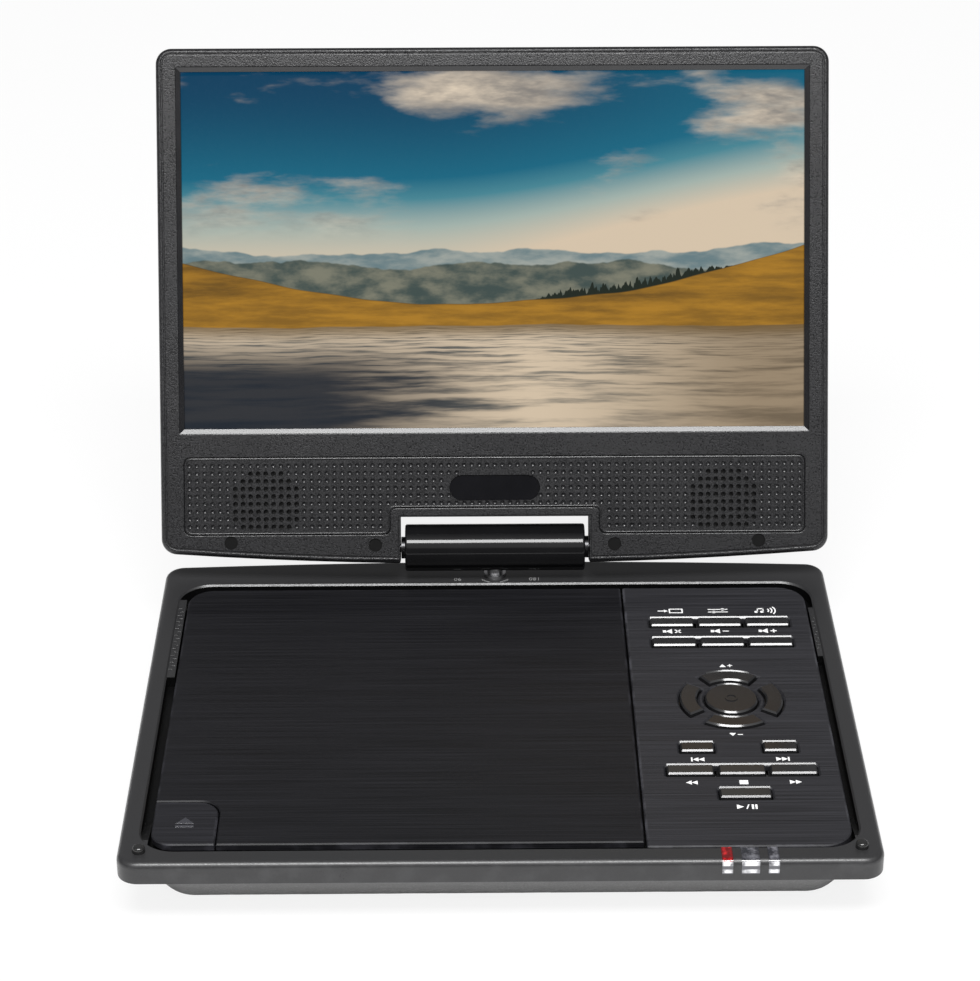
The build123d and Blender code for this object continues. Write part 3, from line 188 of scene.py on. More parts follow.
class Value:
    """A number in a node tree, so that shader maths reads as plain Python."""

    __add__, __radd__ = joined("ADD"), joined("ADD", True)
    __sub__, __rsub__ = joined("SUBTRACT"), joined("SUBTRACT", True)
    __mul__, __rmul__ = joined("MULTIPLY"), joined("MULTIPLY", True)
    __truediv__, __rtruediv__ = joined("DIVIDE"), joined("DIVIDE", True)
    __lt__, __gt__ = joined("LESS_THAN"), joined("GREATER_THAN")
    least, most = joined("MINIMUM"), joined("MAXIMUM")

    def __init__(self, nodes, socket):
        self.nodes = nodes
        self.socket = socket

    def output(self, name):
        """Another output of the same node."""
        return Value(self.nodes, self.socket.node.outputs[name])

    def math(self, operation, *inputs, clamp=False):
        settings = {"operation": operation, "use_clamp": clamp}
        return self.nodes.add("Math", settings, dict(enumerate(inputs)))

    def __abs__(self):
        return self.math("ABSOLUTE", self)

    def clamp(self):
        return self.math("ADD", self, 0.0, clamp=True)

    def rise(self, low, high):
        """0 below a value, 1 above another, with a smooth step between them."""
        return self.nodes.add(
            "MapRange", {"interpolation_type": "SMOOTHSTEP"},
            {"Value": self, "From Min": low, "From Max": high},
        )


class Nodes:
    """Node tree of a material or of the world."""

    def __init__(self, owner):
        owner.use_nodes = True
        self.tree = owner.node_tree
        self.tree.nodes.clear()
        self.owner = owner

    def add(self, kind, settings=None, inputs=None, output=0):
        """A node with its settings and the values or links of its sockets."""
        node = self.tree.nodes.new("ShaderNode" + kind)
        for key, value in (settings or {}).items():
            if key == "stops":
                self.fill_ramp(node.color_ramp, value)
            else:
                setattr(node, key, value)
        for key, value in (inputs or {}).items():
            if isinstance(value, Value):
                self.tree.links.new(value.socket, node.inputs[key])
            else:
                node.inputs[key].default_value = value
        return Value(self, node.outputs[output]) if node.outputs else None

    @staticmethod
    def fill_ramp(ramp, stops):
        while len(ramp.elements) < len(stops):
            ramp.elements.new(1.0)
        for element, (position, shade) in zip(ramp.elements, stops):
            element.position = position
            element.color = shade

    def place(self):
        """Where a point lies, in metres in the row frame."""
        return self.add("TexCoord", output="Object")

    def split(self, vector):
        parts = self.add("SeparateXYZ", inputs={0: vector})
        return parts, parts.output("Y"), parts.output("Z")

    def noise(self, size, detail=3.0, rough=0.55):
        """Even noise with features of a size in metres."""
        return self.add("TexNoise", inputs={
            "Vector": self.place(), "Scale": 1 / size, "Detail": detail, "Roughness": rough})

    def hairs(self, along, across, shift=0.0, detail=2.0):
        """Noise drawn out along X into hairs of a length and a width."""
        drawn = self.add("Mapping", inputs={
            "Vector": self.place(), "Location": (shift, shift, 0),
            "Scale": (1 / along, 1 / across, 1 / across)})
        return self.add("TexNoise", inputs={
            "Vector": drawn, "Scale": 1.0, "Detail": detail, "Roughness": 0.6})

    def mix(self, factor, first, second):
        return self.add("Mix", {"data_type": "RGBA"}, {0: factor, 6: first, 7: second}, output=2)

    def bump(self, height, distance, strength):
        return self.add("Bump", inputs={
            "Strength": strength, "Distance": distance, "Height": height})

    def principled(self, inputs):
        return self.add("BsdfPrincipled", inputs=inputs)

    def plastic(self, tint, rough, specular, normal):
        """Shader of plastic, lacquer, ink or rubber."""
        return self.principled({"Base Color": tint, "Roughness": rough,
                                "Specular IOR Level": specular, "Normal": normal})

    def surface(self, shader):
        """The finished material."""
        self.add("OutputMaterial", inputs={"Surface": shader})
        return self.owner


def rgba(shade, scale=1.0):
    """A colour, made lighter or darker by a scale."""
    return (*[min(part * scale, 1.0) for part in shade[:3]], 1.0)


# Finishes


def finish(name):
    """A new material and its node tree."""
    return Nodes(bpy.data.materials.new(name))


def rim(nodes, node, reach):
    """1 along the outer sides of a flat node, 0 further in than a reach."""
    low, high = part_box(node)
    x, y, _ = nodes.split(nodes.place())
    inside = (x - low.x).least(high.x - x).least((y - low.y).least(high.y - y))
    return 1.0 - inside.rise(0.0, reach)


def moulded(name, shade, grain, depth, rough, specular=0.5, contrast=0.5, worn=None, painted_groove_shade=None):
    """Moulded plastic: spark-eroded grain, uneven gloss, a little dust and rubbed sides, and
    painted shade in a groove's box if one is given.
    """
    nodes = finish(name)
    fine = nodes.noise(grain, 3.0, 0.6).rise(0.3, 0.7)
    soft = nodes.noise(0.03, 2.0)
    specks = nodes.noise(grain * 0.9, 1.0).rise(0.64, 0.72)
    tint = nodes.mix(fine, rgba(shade, 1.0 - contrast), rgba(shade, 1.0 + contrast))
    tint = nodes.mix(specks * contrast, tint, rgba(shade, 2.8))
    if worn is not None:
        rubbed = rim(nodes, worn, 0.0012) * nodes.noise(0.006).rise(0.42, 0.75)
        tint = nodes.mix(rubbed * 0.5, tint, rgba(shade, 2.2))
    dull = rough + (fine - 0.5) * 0.14 + (soft - 0.5) * 0.12
    shader = nodes.plastic(tint, dull, specular, nodes.bump(fine, depth, 0.55))
    # painted shade: inside the groove's box the plastic turns near black and less shiny, standing
    # in for the shade that falls in the deep groove
    if painted_groove_shade is not None:
        half, front, rear, level = painted_groove_shade
        x, y, z = nodes.split(nodes.place())
        inside = (abs(x) < half) * (y > front) * (y < rear) * (z < level)
        painted_shade = nodes.principled({
            "Base Color": nodes.mix(fine, rgba(shade, 0.1), rgba(shade, 0.2)),
            "Roughness": dull, "Specular IOR Level": 0.12})
        shader = nodes.add("MixShader", inputs={0: inside, 1: shader, 2: painted_shade})
    return nodes.surface(shader)


def brushed(name, shade, node, rough=0.44, specular=0.2):
    """Hairline film: dark lacquer over fine lines that run across the player."""
    nodes = finish(name)
    hair = nodes.hairs(0.05, 0.00035).rise(0.3, 0.7)
    streak = nodes.hairs(0.12, 0.001, 0.37, 3.0).rise(0.32, 0.7)
    band = nodes.hairs(0.3, 0.009, 0.81, 2.0).rise(0.3, 0.7)
    line = hair * 0.7 + streak * 0.22 + band * 0.08
    bright = streak.rise(0.6, 1.0) * hair.rise(0.6, 1.0)
    tint = nodes.mix(line, rgba(shade, 0.5), rgba(shade, 1.5))
    tint = nodes.mix(bright * 0.25, tint, rgba(shade, 2.6))
    rubbed = rim(nodes, node, 0.0009) * nodes.noise(0.008).rise(0.4, 0.7)
    tint = nodes.mix(rubbed * 0.6, tint, rgba(shade, 5.0))
    dull = rough + (hair - 0.5) * 0.12 + (band - 0.5) * 0.1
    return nodes.surface(nodes.plastic(
        tint, dull, specular, nodes.bump(hair * 0.7 + streak * 0.3, 0.00001, 0.5)))


def gloss(name, shade, rough, specular=0.5, scratch=0.3):
    """Polished plastic with hazy patches and fine rub marks."""
    nodes = finish(name)
    haze = nodes.noise(0.012)
    marks = nodes.hairs(0.004, 0.00012, 0.2).rise(0.66, 0.74)
    tint = nodes.mix(haze, rgba(shade, 0.75), rgba(shade, 1.25))
    rub = rough + haze.rise(0.4, 0.8) * 0.06 + marks * 0.08 * scratch
    return nodes.surface(nodes.plastic(
        tint, rub, specular, nodes.bump(nodes.noise(0.0035, 2.0), 0.000004, 0.4)))


def metal(name, shade, rough, along=0.006, across=0.00012):
    """Turned or drawn metal with fine lines and duller patches."""
    nodes = finish(name)
    lines = nodes.hairs(along, across)
    patches = nodes.noise(0.006)
    tint = nodes.mix(lines, rgba(shade, 0.8), rgba(shade, 1.1))
    dull = rough + (lines - 0.5) * 0.12 + patches.rise(0.45, 0.8) * 0.12
    return nodes.surface(nodes.principled({
        "Base Color": tint, "Metallic": 1.0, "Roughness": dull,
        "Normal": nodes.bump(lines, 0.000006, 0.4)}))


def soft_rubber(name, shade, specular=0.35):
    """Matt rubber with a fine tooth and paler rubbed spots."""
    nodes = finish(name)
    tooth = nodes.noise(0.00025)
    pale = nodes.noise(0.003).rise(0.55, 0.8)
    tint = nodes.mix(pale * 0.5, rgba(shade, 0.9), rgba(shade, 2.2))
    return nodes.surface(nodes.plastic(
        tint, 0.68 + (tooth - 0.5) * 0.2, specular, nodes.bump(tooth, 0.00003, 0.5)))


def white_ink(shade):
    """Printed ink that is worn a little thin in places."""
    nodes = finish("white_ink")
    worn = nodes.noise(0.0006)
    tint = nodes.mix(worn.rise(0.5, 0.85), rgba(shade), rgba(shade, 0.72))
    return nodes.surface(nodes.plastic(
        tint, 0.5 + (worn - 0.5) * 0.3, 0.5, nodes.bump(worn, 0.00001, 0.3)))


def dress(material, *names):
    """Give CAD nodes a material."""
    for name in names:
        mesh = frame["nodes"][name].data
        mesh.materials.clear()
        mesh.materials.append(material)


# Shapes in millimetres on a flat plane


def spread(x, y, width, height, turn):
    """Place, turn and size of a shape that is one millimetre wide."""
    return (Matrix.Translation((x, y, 0)) @ Matrix.Rotation(turn, 4, "Z")
            @ Matrix.Diagonal((width, height, 1, 1)))


def bar(shape, x, y, width, height, turn=0.0):
    """Rectangle about a centre."""
    bmesh.ops.create_grid(shape, x_segments=1, y_segments=1, size=0.5,
                          matrix=spread(x, y, width, height, turn))


def wedge(shape, x, y, width, height, turn=0.0):
    """Triangle about a centre that points along its turn."""
    place = spread(x, y, width, height, turn)
    shape.faces.new([shape.verts.new(place @ Vector(point))
                     for point in ((0.5, 0, 0), (-0.5, 0.5, 0), (-0.5, -0.5, 0))])


def hoop(shape, x, y, inner, outer, start=0.0, sweep=360.0, steps=24):
    """Ring, or a part of one, between two radii."""
    turn = Matrix.Rotation(math.radians(start), 4, "Z")
    ends = [shape.verts.new(Vector((x, y, 0)) + turn @ Vector((radius, 0, 0)))
            for radius in (inner, outer)]
    edge = shape.edges.new(ends)
    bmesh.ops.spin(shape, geom=[*ends, edge], cent=(x, y, 0), axis=(0, 0, 1),
                   angle=math.radians(sweep), steps=steps, use_merge=sweep == 360.0)


def dot(shape, x, y, radius, steps=16):
    """Round spot."""
    bmesh.ops.create_circle(shape, cap_ends=True, segments=steps, radius=radius,
                            matrix=Matrix.Translation((x, y, 0)))


def verts_of(made):
    """Vertices among the parts that an operation made."""
    return [part for part in made["geom"] if isinstance(part, bmesh.types.BMVert)]


def raise_up(shape, height, rounding=0.0, pick=None):
    """Turn flat shapes into closed solids of a height, and round their upper edges."""
    made = bmesh.ops.extrude_face_region(shape, geom=shape.faces[:], use_keep_orig=True)
    bmesh.ops.translate(shape, vec=(0, 0, height), verts=verts_of(made))
    bmesh.ops.recalc_face_normals(shape, faces=shape.faces)
    if rounding:
        soften(shape, height, rounding, pick)


def loop(shape, points, radius, steps=5, picks=None):
    """Closed loop of edges with rounded corners, all of them or those at some picks."""
    verts = [shape.verts.new((x, y, 0)) for x, y in points]
    known = set(shape.faces)
    shape.faces.new(verts)
    corners = verts if picks is None else [verts[pick] for pick in picks]
    bmesh.ops.bevel(shape, geom=corners, offset=radius, offset_type="OFFSET", segments=steps,
                    profile=0.5, affect="VERTICES", material=-1)
    fresh = [face for face in shape.faces if face not in known]
    edges = list({edge for face in fresh for edge in face.edges})
    bmesh.ops.delete(shape, geom=fresh, context="FACES_ONLY")
    return edges


def fill(shape, edges):
    """Flat sheet between loops, with the inner ones as holes."""
    bmesh.ops.triangle_fill(shape, use_beauty=True, use_dissolve=False, edges=edges,
                            normal=(0, 0, 1))


def soften(shape, height, radius, pick=None):
    """Round the edges at a height, all of them or those whose middle passes a test."""
    edges = []
    for edge in shape.edges:
        low = min(vert.co.z for vert in edge.verts)
        if low > height - MM and len(edge.link_faces) == 2:
            spot = (edge.verts[0].co + edge.verts[1].co) / 2
            if edge.calc_face_angle() > SHARP and (pick is None or pick(spot)):
                edges.append(edge)
    bmesh.ops.bevel(shape, geom=edges, offset=radius, offset_type="OFFSET", segments=3,
                    profile=0.5, affect="EDGES", material=-1, clamp_overlap=True)


def meshed(name, shape):
    """New mesh from a shape, which is used up."""
    mesh = bpy.data.meshes.new(name)
    shape.to_mesh(mesh)
    shape.free()
    return mesh


def absorb(shape, mesh):
    """Add a mesh, which is used up, to a shape."""
    shape.from_mesh(mesh)
    bpy.data.meshes.remove(mesh)


def placed(name, data):
    """New object in the scene."""
    item = bpy.data.objects.new(name, data)
    bpy.context.scene.collection.objects.link(item)
    return item


def make_piece(name, shape, body, material, height, plane=Matrix.Identity(4)):
    """Finished piece at a height in millimetres over a plane, on the body that carries it."""
    place = plane @ Matrix.Translation((0, 0, height * MM))
    bmesh.ops.transform(shape, matrix=place @ Matrix.Scale(MM, 4), verts=shape.verts)
    mesh = meshed(name, shape)
    mesh.materials.append(material)
    piece = placed(name, mesh)
    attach(piece, body)
    return piece


def screen_piece(name, shape, material, height):
    """Finished piece at a height over the middle of the screen's case."""
    return make_piece(name, shape, "screen", material, height, SCREEN)


def box_points(half, low, high):
    """Corners of a rectangle about the screen's middle line, in millimetres."""
    return ((-half, low), (half, low), (half, high), (-half, high))


def strip_points(inset):
    """Corners of the speaker strip, stepped over the hinge notch, in millimetres."""
    half, low, high = STRIP_HALF - inset, STRIP_LOW + inset, STRIP_HIGH - inset
    step_half, step_top = STEP_HALF + inset, STEP_TOP + inset
    return ((-half, low), (-step_half, low), (-step_half, step_top), (step_half, step_top),
            (step_half, low), (half, low), (half, high), (-half, high))


def number(shape, text, x, y, height):
    """Plain number about a centre, from the built-in font, to be read from the rear."""
    curve = bpy.data.curves.new("number", "FONT")
    curve.body = text
    curve.align_x = "CENTER"
    curve.align_y = "CENTER"
    curve.size = height * FONT_SCALE
    curve.resolution_u = 3
    holder = placed("number", curve)
    bpy.context.view_layer.update()
    mesh = bpy.data.meshes.new_from_object(
        holder.evaluated_get(bpy.context.evaluated_depsgraph_get()))
    mesh.transform(Matrix.Translation((x, y, 0)) @ Matrix.Rotation(math.pi, 4, "Z"))
    absorb(shape, mesh)
    bpy.data.objects.remove(holder)
    bpy.data.curves.remove(curve)


# Symbols beside the keys: each part is a shape and its numbers about the symbol's middle


def minus(x):
    return ((bar, x, 0, 1.5, 0.36),)


def plus(x):
    return (*minus(x), (bar, x, -0.46, 0.36, 0.56), (bar, x, 0.46, 0.36, 0.56))


SPEAKER = ((bar, -2.0, 0, 0.8, 1.0), (wedge, -0.95, 0, 1.5, 2.1, math.pi))
FORWARD = ((wedge, -0.85, 0, 1.7, 2.0), (wedge, 0.85, 0, 1.7, 2.0))
SYMBOLS = {
    # an arrow that goes into a small screen
    "input": ((bar, 1.3, -0.85, 3.4, 0.34), (bar, 1.3, 0.85, 3.4, 0.34),
              (bar, -0.23, 0, 0.34, 1.36), (bar, 2.83, 0, 0.34, 1.36),
              (bar, -2.3, 0, 1.5, 0.4), (wedge, -1.1, 0, 0.9, 1.3)),
    # two sliders with their knobs
    "settings": ((bar, 0, -0.6, 4.8, 0.3), (dot, -1.0, -0.6, 0.52, 12),
                 (bar, 0, 0.6, 4.8, 0.3), (dot, 1.2, 0.6, 0.52, 12)),
    # a pair of notes and waves
    "sound": ((dot, -2.2, -0.65, 0.46), (bar, -1.85, 0.15, 0.26, 1.7),
              (dot, -0.8, -0.65, 0.46), (bar, -0.45, 0.15, 0.26, 1.7),
              (bar, -1.15, 0.85, 1.66, 0.42),
              *((hoop, -0.2, 0, inner, inner + 0.34, -38, 76, 8) for inner in (0.9, 1.7, 2.5))),
    "mute": (*SPEAKER, (bar, 1.2, 0, 1.9, 0.36, math.pi / 4),
             (bar, 1.2, 0, 1.9, 0.36, -math.pi / 4)),
    "softer": (*SPEAKER, *minus(1.2)),
    "louder": (*SPEAKER, *plus(1.2)),
    "up": ((wedge, -1.1, 0, 1.6, 2.0, math.pi / 2), *plus(1.1)),
    "down": ((wedge, -1.1, 0, 1.6, 2.0, -math.pi / 2), *minus(1.1)),
    "forward": FORWARD,
    "skip": (*FORWARD, (bar, 1.95, 0, 0.45, 2.0)),
    "stop": ((bar, 0, 0, 2.5, 2.0),),
    "play": ((wedge, -2.0, 0, 2.0, 2.2), (bar, 0.1, 0, 0.36, 2.3, math.radians(-18)),
             (bar, 1.5, 0, 0.6, 2.2), (bar, 2.5, 0, 0.6, 2.2)),
}


# Operators, one for each group of pieces


class CasingOperator(bpy.types.Operator):
    """Finish the shells of the base and of the screen, and raise the grips on the lugs."""

    bl_idname = "player.casing"
    bl_label = "Casing"

    # groove round the disc lid and the panel, darkened with painted shade: half width, front,
    # rear and level of that box, in metres
    painted_groove_shade = (0.10025, -0.0757, 0.0697, 0.0215)
    # lugs in the groove: inner and outer side, front and rear, in millimetres
    lugs = ((-97.8, -100.2, 15.05, 61.05), (98.6, 100.2, 25.05, 54.05))
    lug_top = 21.7
    # plain pad at each end of a lug, and the grips between them
    lug_pad = 4.5
    grip_pitch = 2.0
    grip_length = 0.7
    grip_round = 0.1
    # width of a grip and its shift to either side, as shares of the lug's width
    grip_width = 0.5
    grip_shift = 0.16

    def execute(self, context):
        tints = context.scene.player_colours
        dress(moulded("screen_grain", tints.screen_case, grain=0.00045, depth=0.00005,
                      rough=0.32, contrast=0.7), "screen_bezel", "screen_back_cover")
        # the base's satin, with painted shade in its groove
        satin = moulded("base_satin", tints.base_case, grain=0.0004, depth=0.000003, rough=0.36,
                        contrast=0.12, worn="base_upper_shell", painted_groove_shade=self.painted_groove_shade)
        dress(satin, "base_upper_shell")
        dress(moulded("tub_grain", tints.tub, grain=0.0006, depth=0.00003, rough=0.46,
                      contrast=0.2), "base_lower_shell")
        relief = context.scene.player_sizes.relief / MM
        grips = bmesh.new()
        for inner, outer, front, rear in self.lugs:
            width = abs(outer - inner)
            count = int((rear - front - 2 * self.lug_pad) / self.grip_pitch)
            for step in range(count + 1):
                shift = width * (self.grip_shift if step % 2 else -self.grip_shift)
                bar(grips, (inner + outer) / 2 + shift,
                    front + self.lug_pad + step * self.grip_pitch,
                    width * self.grip_width, self.grip_length)
        raise_up(grips, relief, self.grip_round)
        make_piece("lug_grips", grips, "base", satin, self.lug_top)
        return {"FINISHED"}


class LidOperator(bpy.types.Operator):
    """Finish the disc lid, the open button and the panel, and raise the button's mark."""

    bl_idname = "player.lid"
    bl_label = "Disc lid and panel"

    # shades of the button and of its mark against the lid's film
    button_shade = 1.7
    mark_shade = 4.5
    # mark: an arrow over a bar, with their heights and their distances from the middle
    mark_width = 5.2
    arrow_height, arrow_rise = 3.0, 1.0
    bar_height, bar_fall = 1.0, 1.75
    mark_round = 0.12

    def execute(self, context):
        tints = context.scene.player_colours
        relief = context.scene.player_sizes.relief / MM
        dress(brushed("brushed_lid", tints.film, "disc_lid"), "disc_lid")
        dress(brushed("brushed_panel", tints.panel, "control_panel"), "control_panel")
        dress(brushed("brushed_button", rgba(tints.film, self.button_shade), "open_button"),
              "open_button")
        spot = middle("open_button")
        mark = bmesh.new()
        wedge(mark, spot.x, spot.y + self.arrow_rise, self.arrow_height, self.mark_width,
              math.pi / 2)
        bar(mark, spot.x, spot.y - self.bar_fall, self.mark_width, self.bar_height)
        raise_up(mark, relief, self.mark_round)
        make_piece("open_mark", mark, "open_button",
                   gloss("mark_gloss", rgba(tints.film, self.mark_shade), rough=0.22),
                   top("open_button"))
        return {"FINISHED"}


class KeysOperator(bpy.types.Operator):
    """Finish the keys, raise a ring on the middle one and edge the slots behind them."""

    bl_idname = "player.keys"
    bl_label = "Keys"

    # radii of the ring on the middle key
    ring = (1.35, 1.95)
    # how far the slots lie inside the keys' flanges, and the inner edge of the round slots
    flange = 0.5
    ring_hub = 10.0
    # section of a slot's bright edge, a slope that faces the front: behind and above the slot
    section = ((-0.1, -0.1), (0.42, 0.42), (0.8, -0.05))
    # first and last key over each straight slot
    rows = (("mode_key", "audio_key"), ("mute_key", "volume_up_key"),
            ("previous_key", "previous_key"), ("next_key", "next_key"),
            ("rewind_key", "forward_key"), ("play_key", "play_key"))
    # how far the round edges reach to either side, in degrees
    upper_reach = 24
    inner_reach = 26
    arc_steps = 24

    def edge_section(self, shape, x, rear):
        return shape.faces.new([shape.verts.new((x, rear + y, z)) for y, z in self.section])

    def edge_rows(self, shape):
        for first, last in self.rows:
            low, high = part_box(first)[0] / MM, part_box(last)[1] / MM
            face = self.edge_section(shape, low.x + self.flange, high.y - self.flange)
            made = bmesh.ops.extrude_face_region(shape, geom=[face], use_keep_orig=True)
            bmesh.ops.translate(shape, vec=(high.x - low.x - 2 * self.flange, 0, 0),
                                verts=verts_of(made))

    def edge_ring(self, shape, centre):
        core = (centre.x, centre.y, 0)
        for rear, reach in (
            (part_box("channel_up_key")[1].y / MM - self.flange, self.upper_reach),
            (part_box("ok_key")[1].y / MM - self.flange, self.inner_reach),
            (centre.y - self.ring_hub, self.inner_reach),
        ):
            face = self.edge_section(shape, centre.x, rear)
            bmesh.ops.rotate(shape, cent=core, verts=face.verts[:],
                             matrix=Matrix.Rotation(math.radians(-reach), 3, "Z"))
            bmesh.ops.spin(shape, geom=[face], cent=core, axis=(0, 0, 1),
                           angle=math.radians(2 * reach), steps=self.arc_steps)

    def execute(self, context):
        shade = context.scene.player_colours.key
        polish = gloss("key_gloss", shade, rough=0.16, specular=0.6)
        dress(polish, *[name for name in frame["bodies"] if name.endswith("_key")])
        centre = middle("ok_key")
        mark = bmesh.new()
        hoop(mark, centre.x, centre.y, *self.ring)
        raise_up(mark, context.scene.player_sizes.relief / MM)
        make_piece("ok_mark", mark, "ok_key", polish, top("ok_key"))

        edges = bmesh.new()
        self.edge_rows(edges)
        self.edge_ring(edges, centre)
        bmesh.ops.recalc_face_normals(edges, faces=edges.faces)
        make_piece("slot_edges", edges, "base",
                   gloss("edge_gloss", shade, rough=0.2, specular=0.6), top("control_panel"))
        return {"FINISHED"}


class LegendsOperator(bpy.types.Operator):
    """Print the white symbols beside the keys."""

    bl_idname = "player.legends"
    bl_label = "Legends"

    # distance of the symbols behind the middles of their keys, in millimetres, and their scale
    rows = (
        (7.25, 1.3, {"mode_key": "input", "setup_key": "settings", "audio_key": "sound"}),
        (6.7, 1.3, {"mute_key": "mute", "volume_down_key": "softer",
                    "volume_up_key": "louder"}),
        (7.3, 1.0, {"channel_up_key": "up"}),
        (-7.0, 1.0, {"channel_down_key": "down"}),
        (-6.1, 1.0, {"previous_key": "skip", "next_key": "skip", "rewind_key": "forward",
                     "stop_key": "stop", "forward_key": "forward"}),
        (-6.5, 1.0, {"play_key": "play"}),
    )
    # keys whose symbols point to the left
    turned = ("previous_key", "rewind_key")

    def stamp(self, prints, parts, key, lift, scale):
        """Add a symbol at a distance behind a key."""
        spot = middle(key)
        symbol = bmesh.new()
        for draw, *numbers in parts:
            draw(symbol, *numbers)
        turn = math.pi if key in self.turned else 0.0
        place = (Matrix.Translation((spot.x, spot.y + lift, 0))
                 @ Matrix.Rotation(turn, 4, "Z") @ Matrix.Scale(scale, 4))
        bmesh.ops.transform(symbol, matrix=place, verts=symbol.verts)
        absorb(prints, meshed("symbol", symbol))

    def execute(self, context):
        prints = bmesh.new()
        for lift, scale, symbols in self.rows:
            for key, symbol in symbols.items():
                self.stamp(prints, SYMBOLS[symbol], key, lift, scale)
        raise_up(prints, context.scene.player_sizes.print_height / MM)
        make_piece("panel_prints", prints, "base",
                   white_ink(context.scene.player_colours.ink), top("control_panel"))
        return {"FINISHED"}


class BezelOperator(bpy.types.Operator):
    """Model the grained front plate of the screen, its outer bead and the window's trim."""

    bl_idname = "player.bezel"
    bl_label = "Screen front"

    # outline of the screen's face, bowed at its foot, in millimetres
    half = 106.0
    ceiling = 158.4
    foot = 0.9
    bow = 3.9
    bow_steps = (88.0, 70.0, 50.0)
    corner = 5.0
    corner_steps = 6
    # notch for the hinge
    notch_half = 30.2
    notch_top = 10.4
    notch_edge = 0.35
    # height of the CAD face, the plate on it, and how deep the bead is let in
    face = 7.5
    plate = 0.3
    plate_edge = 2.0
    plate_round = 0.28
    sunk = 0.3
    bead_out, bead_in = 0.8, 1.65
    bead_round = 0.25
    # window: half width, foot and head, then the slope and the wall down to the glass
    window = (99.7, 37.15, 152.45)
    window_corner = 0.4
    trim_width, trim_fall = 1.45, 0.58
    wall_width, wall_fall = 0.02, 1.7
    trim_shade = (0.008, 0.008, 0.009)
    # the plate keeps a little clear of the strip and of the screw plugs
    strip_gap = 0.05
    plugs = ((83.8, 2.4), (38.0, 1.5))
    plug_radius = 2.12
    plug_gap = 0.05
    plug_steps = 32

    def foot_at(self, u, inset):
        share = u / (self.half - inset)
        return inset - self.foot - self.bow * (1 - share * share)

    def outline(self, inset, notch):
        """Corners of the screen's outline, with the hinge notch if its edge is given."""
        half, head = self.half - inset, self.ceiling - inset
        gap = 0.0 if notch is None else self.notch_half + notch
        side = [(u, self.foot_at(u, inset)) for u in (half, *self.bow_steps, gap)]
        left = [(-u, v) for u, v in side]
        right = side[::-1]
        if notch is None:
            right = right[1:]
        else:
            left.append((-gap, self.notch_top + notch))
            right.insert(0, (gap, self.notch_top + notch))
        return [*left, *right, (half, head), (-half, head)]

    def ring(self, shape, inset, notch=None):
        """Loop along the screen's outline, with its four outer corners rounded."""
        points = self.outline(inset, notch)
        last = len(points)
        return loop(shape, points, self.corner - inset, self.corner_steps,
                    (0, last - 3, last - 2, last - 1))

    def off_plugs(self, spot):
        """Whether a point lies away from the screw plugs."""
        return all(math.hypot(abs(spot.x) - u, spot.y - v) > self.plug_radius + self.plug_gap
                   for u, v in self.plugs)

    def make_bead(self, material):
        bead = bmesh.new()
        fill(bead, self.ring(bead, self.bead_out) + self.ring(bead, self.bead_in))
        # cut it off at both sides of the notch
        for side in (-1, 1):
            low = [face for face in bead.faces
                   if min(vert.co.y for vert in face.verts) < self.notch_top]
            parts = {part for face in low for part in (*face.verts, *face.edges, face)}
            bmesh.ops.bisect_plane(bead, geom=list(parts), plane_no=(1, 0, 0),
                                   plane_co=(side * (self.notch_half + self.notch_edge), 0, 0))
        bmesh.ops.delete(bead, context="FACES", geom=[
            face for face in bead.faces
            if abs(face.calc_center_median().x) < self.notch_half
            and face.calc_center_median().y < self.notch_top])
        raise_up(bead, self.sunk + self.plate, self.bead_round)
        screen_piece("bezel_bead", bead, material, self.face - self.sunk)

    def make_plate(self, material):
        sheet = bmesh.new()
        loops = self.ring(sheet, self.plate_edge, self.notch_edge)
        loops += loop(sheet, box_points(*self.window), self.window_corner, 2)
        loops += loop(sheet, strip_points(-self.strip_gap), STRIP_CORNER)
        for u, v in self.plugs:
            for side in (-1, 1):
                hole = bmesh.ops.create_circle(
                    sheet, cap_ends=False, segments=self.plug_steps, radius=self.plug_radius,
                    matrix=Matrix.Translation((side * u, v, 0)))
                loops += list({edge for vert in hole["verts"] for edge in vert.link_edges})
        fill(sheet, loops)
        raise_up(sheet, self.plate, self.plate_round, self.off_plugs)
        screen_piece("bezel_face", sheet, material, self.face)

    def make_trim(self):
        """Sloped frame down to the glass."""
        trim = bmesh.new()
        half, low, high = self.window
        bar(trim, 0, (low + high) / 2, 2 * half, high - low)
        faces = trim.faces[:]
        for thickness, fall in ((self.trim_width, self.trim_fall),
                                (self.wall_width, self.wall_fall)):
            bmesh.ops.inset_individual(trim, faces=faces, thickness=thickness, depth=-fall,
                                       use_even_offset=True)
        inner = list(faces[0].edges)
        bmesh.ops.delete(trim, geom=faces, context="FACES_ONLY")
        made = bmesh.ops.extrude_edge_only(trim, edges=[
            edge for edge in trim.edges if edge.is_boundary and edge not in inner])
        verts = verts_of(made)
        bmesh.ops.translate(trim, vec=(0, 0, -self.trim_fall - self.wall_fall), verts=verts)
        outer = [part for part in made["geom"] if isinstance(part, bmesh.types.BMEdge)
                 and all(vert in verts for vert in part.verts)]
        bmesh.ops.bridge_loops(trim, edges=outer + inner)
        bmesh.ops.recalc_face_normals(trim, faces=trim.faces)
        screen_piece("window_trim", trim,
                     gloss("trim_gloss", self.trim_shade, rough=0.2, specular=0.6),
                     self.face + self.plate)

    def execute(self, context):
        grain = bpy.data.materials["screen_grain"]
        self.make_bead(grain)
        self.make_plate(grain)
        self.make_trim()
        return {"FINISHED"}


